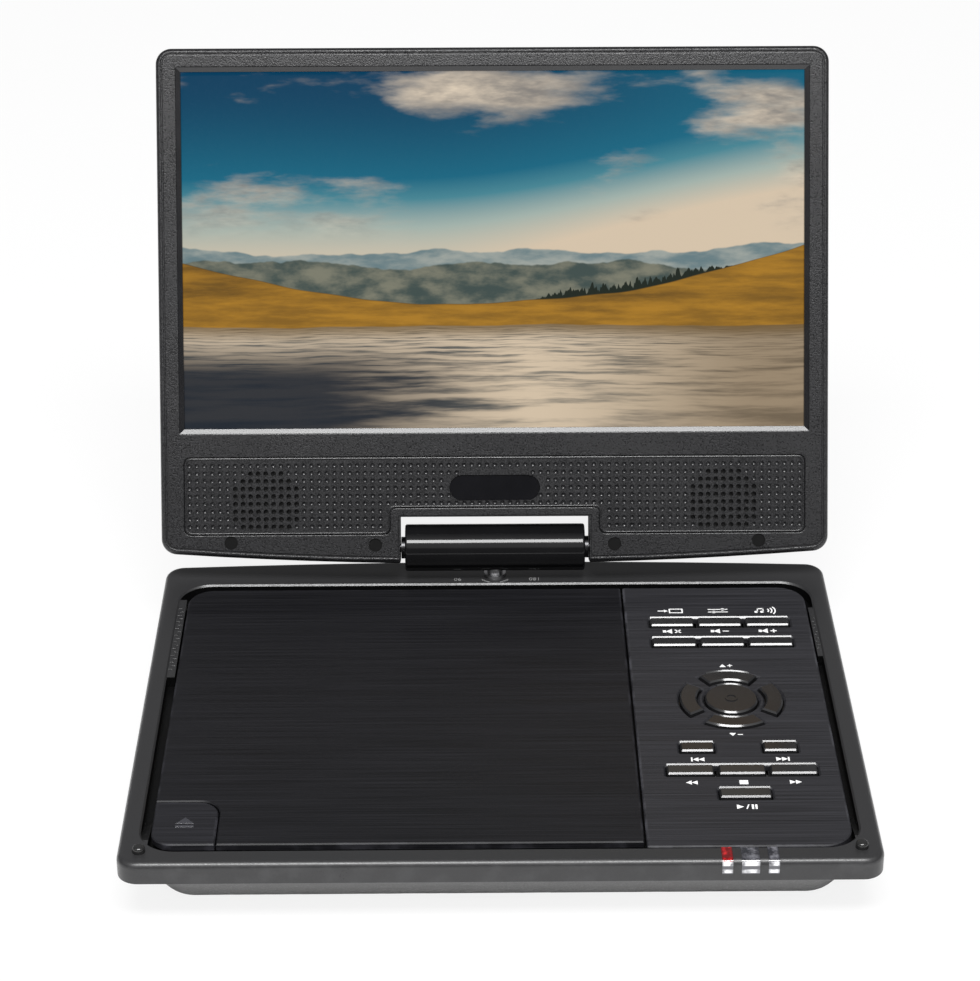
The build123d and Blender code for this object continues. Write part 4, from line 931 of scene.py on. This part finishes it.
class GrilleOperator(bpy.types.Operator):
    """Model the dotted speaker strip with its sound holes and its bead."""

    bl_idname = "player.grille"
    bl_label = "Speaker grille"

    # sheet of dots on the screen's face, in millimetres
    columns = 81
    rows = 9
    row_middle = 17.14
    margin = 0.15
    thickness = 1.4
    seat = 6.3
    # receiver window, and the step over the hinge with a little room
    pill_half, pill_radius, pill_v = 14.4, 4.07, 19.6
    pill_gap = 0.02
    pill_steps = 8
    # just short of full, so that the ends keep a short straight edge
    pill_rounding = 0.999
    step_half, step_top = STEP_HALF + 0.1, STEP_TOP + 0.1
    # least distance of a dot's middle from both
    clear = 0.78
    # middle of a speaker, and its sound holes in each row from the top
    speaker_u = 72.6
    hole_rows = (0, 5, 7, 9, 9, 9, 9, 9, 7)
    hole_slack = 0.1
    # hollow of a dot: steps inwards and downwards, as shares of its radius and depth
    hollow = ((0.28, 0.48), (0.28, 0.34), (0.28, 0.18))
    # rounded edge of the strip, and how near to it an edge counts as outer
    edge_round = 0.33
    border = 1.0
    step_border = 0.3
    # bead along the strip's edge
    bead_out, bead_in = 0.2, 0.75
    bead_height, bead_sunk = 0.38, 0.1
    bead_round = 0.22

    def is_hole(self, u, row, pitch):
        reach = (self.hole_rows[row] - 1) / 2 * pitch + self.hole_slack
        return self.hole_rows[row] > 0 and abs(abs(u) - self.speaker_u) < reach

    def is_clear(self, u, v):
        """Whether a dot fits beside the receiver window and the hinge notch."""
        past = max(abs(u) - (self.pill_half - self.pill_radius), 0.0)
        if math.hypot(past, v - self.pill_v) < self.pill_radius + self.clear:
            return False
        return abs(u) > self.step_half + self.clear or v > self.step_top + self.clear

    def on_border(self, spot):
        """Whether a point lies on the outer edge of the strip."""
        inside = (abs(spot.x) <= STRIP_HALF - self.border
                  and STRIP_LOW + self.border < spot.y < STRIP_HIGH - self.border)
        stepped = (abs(spot.x) < self.step_half + self.border
                   and spot.y < self.step_top + self.step_border)
        return stepped or not inside

    def make_dots(self, sheet, pitch, radius):
        """Cells with eight-sided dots, open where sound comes out; returns the outer edges."""
        bmesh.ops.create_grid(
            sheet, x_segments=self.columns, y_segments=self.rows, size=0.5,
            matrix=spread(0, self.row_middle, self.columns * pitch, self.rows * pitch, 0.0))
        bmesh.ops.delete(sheet, context="FACES", geom=[
            cell for cell in sheet.faces if not self.is_clear(*cell.calc_center_median().xy)])
        # the cells become rings round their dots
        cells = sheet.faces[:]
        bmesh.ops.inset_individual(sheet, faces=cells, thickness=pitch / 2 - radius, depth=0.0,
                                   use_even_offset=True)
        corners = list({vert for cell in cells for vert in cell.verts})
        bmesh.ops.bevel(sheet, geom=corners, offset=radius * 2 / (2 + math.sqrt(2)),
                        offset_type="OFFSET", segments=1, profile=0.5, affect="VERTICES",
                        material=-1)
        border = [edge for edge in sheet.edges if edge.is_boundary]
        # keep the cells beside the receiver window out of its opening
        reach = self.pill_half - self.pill_radius
        for vert in {vert for edge in border for vert in edge.verts}:
            core = Vector((max(min(vert.co.x, reach), -reach), self.pill_v, 0))
            away = vert.co - core
            if away.length < self.pill_radius + self.pill_gap:
                vert.co = core + away.normalized() * (self.pill_radius + self.pill_gap)
        top_row = self.row_middle + (self.rows - 1) / 2 * pitch
        holes = []
        for face in self.dots(sheet):
            u, v = face.calc_center_median().xy
            if self.is_hole(u, round((top_row - v) / pitch), pitch):
                holes.append(face)
        bmesh.ops.delete(sheet, geom=holes, context="FACES_ONLY")
        return border

    @staticmethod
    def dots(sheet):
        return [face for face in sheet.faces if len(face.verts) == 8]

    def make_sheet(self, material, pitch, radius, depth):
        sheet = bmesh.new()
        border = self.make_dots(sheet, pitch, radius)
        # plain margins out to the edge of the strip and round the receiver window
        strip = loop(sheet, strip_points(self.margin), STRIP_CORNER)
        pill = loop(sheet, box_points(self.pill_half, self.pill_v - self.pill_radius,
                                      self.pill_v + self.pill_radius),
                    self.pill_radius * self.pill_rounding, self.pill_steps)
        fill(sheet, strip + pill + border)
        bmesh.ops.recalc_face_normals(sheet, faces=sheet.faces)
        if next(iter(sheet.faces)).normal.z < 0:
            bmesh.ops.reverse_faces(sheet, faces=sheet.faces)
        raise_up(sheet, self.thickness)
        # hollow the dots that are no holes
        upper = [face for face in self.dots(sheet)
                 if face.calc_center_median().z > self.thickness / 2]
        for share, fall in self.hollow:
            bmesh.ops.inset_individual(sheet, faces=upper, thickness=radius * share,
                                       depth=-depth * fall, use_even_offset=True)
        soften(sheet, self.thickness, self.edge_round, self.on_border)
        piece = screen_piece("grille_face", sheet, material, self.seat)
        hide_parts("speaker_grille")

    def make_bead(self, material):
        bead = bmesh.new()
        fill(bead, loop(bead, strip_points(self.bead_out), STRIP_CORNER)
             + loop(bead, strip_points(self.bead_in), STRIP_CORNER))
        raise_up(bead, self.bead_height, self.bead_round)
        screen_piece("strip_bead", bead, material, self.seat + self.thickness - self.bead_sunk)

    def execute(self, context):
        sizes = context.scene.player_sizes
        material = moulded("grille_grain", context.scene.player_colours.strip, grain=0.0005,
                           depth=0.00001, rough=0.3, specular=0.6)
        self.make_sheet(material, sizes.dot_pitch / MM, sizes.dot_radius / MM,
                        sizes.dot_depth / MM)
        self.make_bead(material)
        return {"FINISHED"}


class Landscape:
    """Made-up picture for the display, drawn with noise over its lit area."""

    # lit area on the screen's face: foot, head and half width, in metres
    low, high, half = 0.0384, 0.1512, 0.09845
    # sky between its upper half and the horizon, then clouds in shade and in light
    sky_stops = ((0.64, (0.06, 0.23, 0.29, 1)), (0.82, (0.36, 0.44, 0.40, 1)))
    cloud_dark, cloud_lit = (0.24, 0.22, 0.20, 1), (0.86, 0.72, 0.55, 1)
    # ridges from far to near: height, swell, waves across, shift, dark and pale rock
    far_ridges = (
        (0.52, 0.20, 2.6, 11.3, (0.13, 0.20, 0.22, 1), (0.34, 0.37, 0.34, 1)),
        (0.46, 0.16, 3.8, 23.1, (0.05, 0.075, 0.07, 1), (0.20, 0.20, 0.15, 1)),
    )
    wood, dry_grass = (0.012, 0.018, 0.012, 1), (0.055, 0.032, 0.010, 1)
    # lake: troughs, brown light on its right, dark water on its left, and the far bank
    trough, brown = (0.13, 0.13, 0.12, 1), (0.17, 0.115, 0.06, 1)
    deep, bank = (0.011, 0.017, 0.027, 1), (0.14, 0.08, 0.02, 1)

    def __init__(self, nodes, tints):
        self.nodes = nodes
        self.tints = tints
        x, y, z = nodes.split(nodes.place())
        rise = (y - FOLD_POINT.y) * SCREEN_V.y + (z - FOLD_POINT.z) * SCREEN_V.z
        self.across = (x + self.half) / (2 * self.half)
        self.up = (rise - self.low) / (self.high - self.low)

    def field(self, wide, tall, shift, detail=4.0, rough=0.55):
        """Noise with some waves across and up the picture."""
        spot = self.nodes.add("CombineXYZ", inputs={
            0: self.across * wide + shift, 1: self.up * tall, 2: shift})
        return self.nodes.add("TexNoise", inputs={
            "Vector": spot, "Scale": 1.0, "Detail": detail, "Roughness": rough})

    def crest(self, base, swell, wide, shift, detail):
        """Height of a skyline."""
        return base + (self.field(wide, 0.0, shift, detail) - 0.5) * swell

    def below(self, line, blur, picture, cover):
        """The picture with a cover laid over it below a line."""
        return self.nodes.mix((line - self.up).rise(0.0, blur), picture, cover)

    def sky(self):
        """Sky that is deep above and warm near the horizon and to the right, with clouds."""
        warm = 1.0 - self.up.rise(0.4, 1.0) + self.across.rise(0.35, 1.2) * 0.5
        air = self.nodes.add("ValToRGB", {"stops": (
            (0.0, rgba(self.tints.sky_high)), (0.5, rgba(self.tints.sky_mid)),
            *self.sky_stops, (1.0, rgba(self.tints.sky_low)))}, {0: warm})
        puff = self.field(2.3, 4.6, 8.6, 7.0, 0.56)
        lit = self.field(2.3, 4.6, 8.63, 7.0, 0.56)
        cloud = self.nodes.mix((lit - puff + 0.5).rise(0.42, 0.6), self.cloud_dark,
                               self.cloud_lit)
        cover = puff.rise(0.49, 0.62) * self.up.rise(0.5, 0.66)
        return self.nodes.mix(cover * 0.95, air, cloud)

    def ridges(self, picture):
        """Far ridges in haze."""
        for base, swell, wide, shift, dark, pale in self.far_ridges:
            rock = self.nodes.mix(self.field(wide * 5, 22.0, shift).rise(0.35, 0.7), dark, pale)
            picture = self.below(self.crest(base, swell, wide, shift, 5.0), 0.006, picture, rock)
        return picture

    def hills(self, picture):
        """Golden hills that rise to both sides, with a wood on the right one."""
        side = abs(self.across - 0.45)
        crest = self.crest(0.36, 0.08, 2.0, 31.7, 3.0) + side * side * 0.5
        wooded = self.across.rise(0.56, 0.62) * (1.0 - self.across.rise(0.8, 0.9))
        trees = wooded * self.field(110.0, 0.0, 71.0, 2.0).rise(0.25, 0.8) * 0.045
        picture = self.below(crest + trees, 0.004, picture, self.wood)
        grass = self.field(9.0, 34.0, 39.0, 6.0, 0.62).rise(0.3, 0.72)
        sweep = self.field(1.6, 5.0, 43.0, 2.0).rise(0.32, 0.62)
        gold = self.nodes.mix((grass * 0.55 + sweep * 0.6 - 0.1).clamp(), self.dry_grass,
                              rgba(self.tints.meadow))
        return self.below(crest, 0.005, picture, gold)

    def lake(self, picture):
        """Lake in front that mirrors the warm sky."""
        mix = self.nodes.mix
        fall = (self.crest(0.29, 0.035, 3.0, 47.9, 4.0) - self.up).most(0.0)
        near = fall + 0.06
        spot = self.nodes.add("CombineXYZ", inputs={
            0: (self.across - 0.5) * 0.5 / near, 1: 1.1 / near})
        ripple = self.nodes.add("TexNoise", inputs={
            "Vector": spot, "Scale": 2.2, "Detail": 5.0, "Roughness": 0.6})
        water = mix(ripple.rise(0.3, 0.58), self.trough, rgba(self.tints.water))
        water = mix(self.across.rise(0.55, 0.95) * 0.7, water, self.brown)
        dark = (1.0 - (self.across + ripple * 0.3).rise(0.38, 0.74)) * fall.rise(0.0, 0.15)
        water = mix(dark * 0.97, water, self.deep)
        water = mix((1.0 - fall.rise(0.0, 0.05)) * 0.8, water, self.bank)
        return mix(fall.rise(0.0, 0.005), picture, water)

    def draw(self):
        return self.lake(self.hills(self.ridges(self.sky())))


class DisplayOperator(bpy.types.Operator):
    """Light the display with a calm landscape, and finish the receiver window."""

    bl_idname = "player.display"
    bl_label = "Display"

    glass = (0.003, 0.003, 0.003, 1)
    smoke = (0.004, 0.004, 0.005)

    def execute(self, context):
        nodes = finish("lit_picture")
        picture = Landscape(nodes, context.scene.player_colours).draw()
        dress(nodes.surface(nodes.principled({
            "Base Color": self.glass, "Roughness": 0.22 + nodes.noise(0.002, 2.0) * 0.1,
            "Specular IOR Level": 0.06, "Emission Color": picture, "Emission Strength": 1.0})),
            "lcd_panel")
        dress(gloss("smoked_window", self.smoke, rough=0.09, specular=0.35), "ir_window")
        return {"FINISHED"}


class HingeOperator(bpy.types.Operator):
    """Finish the hinge and raise the turning marks in front of the post."""

    bl_idname = "player.hinge"
    bl_label = "Swivel hinge"

    barrel_shade = (0.006, 0.006, 0.0065)
    pin_shade = (0.06, 0.06, 0.062)
    mark_shade = (0.22, 0.22, 0.22)
    # numbers in front of the post, in millimetres
    numbers = (("90", -12.0), ("180", 12.7))
    number_height = 1.8
    number_row = 3.6
    # curved arrows round the post: radii of the arc, its sweep in degrees, and the tip
    arc = (5.6, 5.85)
    arc_sweep = 28.0
    arc_steps = 8
    tip_radius = 5.72
    tip_size = (0.9, 0.8)
    # side, start of the arc and place of its tip, in degrees
    arrows = ((-1, 226.0, 226.0), (1, 286.0, 314.0))
    # height of the marks as a share of the usual relief
    mark_height = 0.6

    def execute(self, context):
        dress(gloss("barrel_gloss", self.barrel_shade, rough=0.08, specular=0.28, scratch=0.6),
              "swivel_head")
        dress(metal("post_steel", context.scene.player_colours.steel, 0.34, along=0.0004,
                    across=0.0001), "swivel_shaft")
        dress(metal("pin_steel", self.pin_shade, 0.3), "hinge_pins")
        post = middle("swivel_shaft")
        marks = bmesh.new()
        for text, x in self.numbers:
            number(marks, text, x, post.y - self.number_row, self.number_height)
        for side, start, tip in self.arrows:
            hoop(marks, 0, post.y, *self.arc, start, self.arc_sweep, self.arc_steps)
            turn = math.radians(tip)
            wedge(marks, self.tip_radius * math.cos(turn),
                  post.y + self.tip_radius * math.sin(turn), *self.tip_size,
                  turn + side * math.pi / 2)
        raise_up(marks, context.scene.player_sizes.relief / MM * self.mark_height)
        make_piece("turning_marks", marks, "base",
                   gloss("sign_gloss", self.mark_shade, rough=0.4), top("control_panel"))
        return {"FINISHED"}


class LampsOperator(bpy.types.Operator):
    """Finish the clear light pipes with painted light and shade, the first one tinted red on top.
    """

    bl_idname = "player.lamps"
    bl_label = "Lamps"

    # middle and half width of each pipe, and the width of the first, in metres
    pipes = ((0.0623, 0.0015), (0.0687, 0.0025), (0.0751, 0.0015))
    first_width = 0.004
    # painted shade and painted light on the clear top, and on the front likewise
    top_dark, top_lit = (0.02, 0.02, 0.025, 1), (0.16, 0.16, 0.18, 1)
    front_dark, front_lit = (0.09, 0.09, 0.10, 1), (0.82, 0.82, 0.84, 1)

    def execute(self, context):
        red = context.scene.player_colours.lamp_red
        nodes = finish("lamp_clear")
        low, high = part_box("light_pipes")
        x, _, z = nodes.split(nodes.place())
        drop = (high.z - z) / MM
        inside = nodes.noise(0.0022, 2.0)
        # 0 in the middle of a pipe, 1 at its sides
        off = 1.0
        for centre, half in self.pipes:
            off = (abs(x - centre) / half).least(off)
        # painted light: the middle of each pipe is drawn lighter than its sides
        core = 1.0 - off.rise(0.5, 0.95)
        clear = nodes.mix(inside.rise(0.4, 0.75) * (0.3 + core * 0.7), self.top_dark,
                          self.top_lit)
        # the red top of the first pipe: red tint, with painted light brighter in its middle and
        # darker at its sides
        red_tint_and_light = nodes.mix(inside.rise(0.35, 0.7) * core, rgba(red, 0.2), rgba(red))
        wavy = nodes.bump(nodes.noise(0.0014, 2.0), 0.0001, 0.4)
        deep = nodes.plastic(nodes.mix(x < low.x + self.first_width, clear, red_tint_and_light),
                             0.06 + inside * 0.1, 0.7, wavy)
        # the front is painted with a highlight along its edge, a grey middle and a bright painted
        # highlight at the foot of each pipe
        edge = 1.0 - drop.rise(1.5, 1.9)
        foot = drop.rise(2.7, 3.1) * (1.0 - drop.rise(3.9, 4.2))
        white = edge.most(foot) * inside.rise(0.2, 0.55) * (0.35 + core * 0.65)
        pale = nodes.plastic(nodes.mix(white, self.front_dark, self.front_lit),
                             0.1 + inside * 0.12, 0.6, wavy)
        dress(nodes.surface(nodes.add(
            "MixShader", inputs={0: drop.rise(0.5, 0.8), 1: deep, 2: pale})), "light_pipes")
        return {"FINISHED"}


class RubberOperator(bpy.types.Operator):
    """Finish the feet, bumpers and plugs."""

    bl_idname = "player.rubber"
    bl_label = "Rubber parts"

    plug_shade = 0.3

    def execute(self, context):
        shade = context.scene.player_colours.rubber
        dress(soft_rubber("rubber_tooth", shade), "rubber_feet")
        dress(soft_rubber("plug_rubber", rgba(shade, self.plug_shade), specular=0.12),
              "screw_plugs")
        dress(gloss("bumper_shine", shade, rough=0.18, specular=0.6), "front_bumpers")
        return {"FINISHED"}


class DriveOperator(bpy.types.Operator):
    """Finish the disc well, the drive and the parts inside the casing."""

    bl_idname = "player.drive"
    bl_label = "Drive and inner parts"

    # moulded parts: finish, shade, grain, its depth, roughness, shine and nodes
    plastics = (
        ("well_matt", (0.028, 0.028, 0.029), 0.0003, 0.00003, 0.52, 0.4,
         ("disc_well", "turntable")),
        ("socket_matt", (0.02, 0.02, 0.02), 0.0003, 0.00002, 0.45, 0.45,
         ("headphone_jack", "antenna_socket", "dc_inlet", "power_switch_body",
          "power_switch_knob", "lid_latch")),
        ("sled_matt", (0.05, 0.05, 0.055), 0.0003, 0.00003, 0.5, 0.5, ("pickup_sled",)),
        ("backlight_matt", (0.75, 0.75, 0.75), 0.0004, 0.00002, 0.6, 0.5, ("lcd_backlight",)),
        ("speaker_paint", (0.03, 0.03, 0.03), 0.0003, 0.00002, 0.5, 0.5, ("speakers",)),
        ("cell_wrap", (0.05, 0.06, 0.09), 0.0006, 0.00001, 0.35, 0.5, ("battery_pack",)),
    )
    pale_rubber = (0.2, 0.2, 0.2)
    lens_blue = (0.02, 0.03, 0.08)
    zinc = (0.42, 0.43, 0.46)

    def execute(self, context):
        tints = context.scene.player_colours
        for *values, names in self.plastics:
            dress(moulded(*values), *names)
        dress(moulded("board_mask", tints.board, grain=0.0005, depth=0.00001, rough=0.35),
              "key_board", "main_board", "lcd_driver_board")
        dress(soft_rubber("rubber_pale", self.pale_rubber), "key_mat", "drive_dampers")
        dress(gloss("lens_coat", self.lens_blue, rough=0.05, specular=0.8), "pickup_lens")
        dress(metal("bright_steel", tints.steel, 0.28), "base_screws", "screen_screws",
              "guide_rods", "lead_screw", "spindle_motor", "sled_motor")
        dress(metal("zinc_sheet", self.zinc, 0.36, along=0.01, across=0.0004),
              "drive_chassis", "hinge_brackets")
        return {"FINISHED"}


class StageOperator(bpy.types.Operator):
    """Set the floor, the light and the camera."""

    bl_idname = "player.stage"
    bl_label = "Stage"

    white = (1, 1, 1, 1)
    # floor: its own colour, and the share of plain white in what the camera sees
    paper = (0.88, 0.88, 0.88, 1)
    white_share = 0.86
    # world: dim around the sides, white over the front and grey behind
    dim, behind = (0.13, 0.13, 0.134, 1), (0.27, 0.27, 0.275, 1)
    # soft box: size and distance in metres, its climb, and the point that it faces
    box_size = (0.9, 0.36)
    box_distance = 1.4
    box_climb = math.radians(61)
    target = Vector((0, 0, 0.05))
    sensor = 36.0

    def make_floor(self, scene):
        sheet = bmesh.new()
        bmesh.ops.create_grid(sheet, x_segments=1, y_segments=1,
                              size=scene.player_stage.floor_size)
        mesh = meshed("floor", sheet)
        nodes = finish("pale_floor")
        seen = nodes.add("LightPath", output="Is Camera Ray")
        paper = nodes.add("BsdfDiffuse", inputs={"Color": self.paper})
        white = nodes.add("Emission", inputs={"Color": self.white, "Strength": 1.0})
        mesh.materials.append(nodes.surface(nodes.add(
            "MixShader", inputs={0: seen * self.white_share, 1: paper, 2: white})))
        floor = placed("floor", mesh)

    def make_world(self, scene):
        scene.world = bpy.data.worlds.new("studio")
        nodes = Nodes(scene.world)
        _, y, z = nodes.split(nodes.add("TexCoord", output="Generated"))
        front = z.rise(0.36, 0.52) * y.rise(0.2, -0.5)
        shade = nodes.mix(front, self.dim, self.white)
        shade = nodes.mix(y.rise(0.1, 0.7), shade, self.behind)
        seen = nodes.add("LightPath", output="Is Camera Ray")
        studio = nodes.add("Background", inputs={
            "Color": nodes.mix(seen, shade, self.white), "Strength": 1.0})
        nodes.add("OutputWorld", inputs={"Surface": studio})

    def make_light(self, scene):
        light = bpy.data.lights.new("soft_box", "AREA")
        light.shape = "RECTANGLE"
        light.size, light.size_y = self.box_size
        light.energy = scene.player_stage.key_power
        lamp = placed("soft_box", light)
        toward = Vector((0, -math.cos(self.box_climb), math.sin(self.box_climb)))
        lamp.location = self.target + self.box_distance * toward
        lamp.rotation_euler = (lamp.location - self.target).to_track_quat("Z", "Y").to_euler()

    def make_camera(self, scene):
        stage = scene.player_stage
        view = bpy.data.cameras.new("camera")
        view.lens = stage.lens
        view.sensor_width = self.sensor
        scene.camera = placed("camera", view)
        scene.camera.matrix_world = (
            Matrix.Translation(stage.camera_place) @ Matrix.Rotation(-stage.yaw, 4, "Z")
            @ Matrix.Rotation(math.pi / 2 - stage.pitch, 4, "X")
            @ Matrix.Rotation(stage.roll, 4, "Z"))

    def execute(self, context):
        scene = context.scene
        scene.view_settings.view_transform = "Standard"
        self.make_floor(scene)
        self.make_world(scene)
        self.make_light(scene)
        self.make_camera(scene)
        return {"FINISHED"}


STEPS = (CasingOperator, LidOperator, KeysOperator, LegendsOperator, BezelOperator,
         GrilleOperator, DisplayOperator, HingeOperator, LampsOperator, RubberOperator,
         DriveOperator, StageOperator)


class PlayerPanel(bpy.types.Panel):
    """Sidebar panel with the steps and the values that they use."""

    bl_idname = "VIEW3D_PT_disc_player"
    bl_label = "Disc Player"
    bl_space_type = "VIEW_3D"
    bl_region_type = "UI"
    bl_category = "Disc Player"

    def draw(self, context):
        for step in STEPS:
            self.layout.operator(step.bl_idname)
        for name, group in GROUPS.items():
            column = self.layout.column()
            for value in group.__annotations__:
                column.prop(getattr(context.scene, name), value)


GROUPS = {"player_sizes": PlayerSizes, "player_colours": PlayerColours,
          "player_stage": StageSettings}
CLASSES = (*GROUPS.values(), *STEPS, PlayerPanel)


def register():
    for item in CLASSES:
        bpy.utils.register_class(item)
    for name, group in GROUPS.items():
        setattr(bpy.types.Scene, name, PointerProperty(type=group))


def unregister():
    for name in GROUPS:
        delattr(bpy.types.Scene, name)
    for item in reversed(CLASSES):
        bpy.utils.unregister_class(item)


def main():
    register()
    for step in STEPS:
        group, name = step.bl_idname.split(".")
        getattr(getattr(bpy.ops, group), name)()


if __name__ == "__main__":
    main()
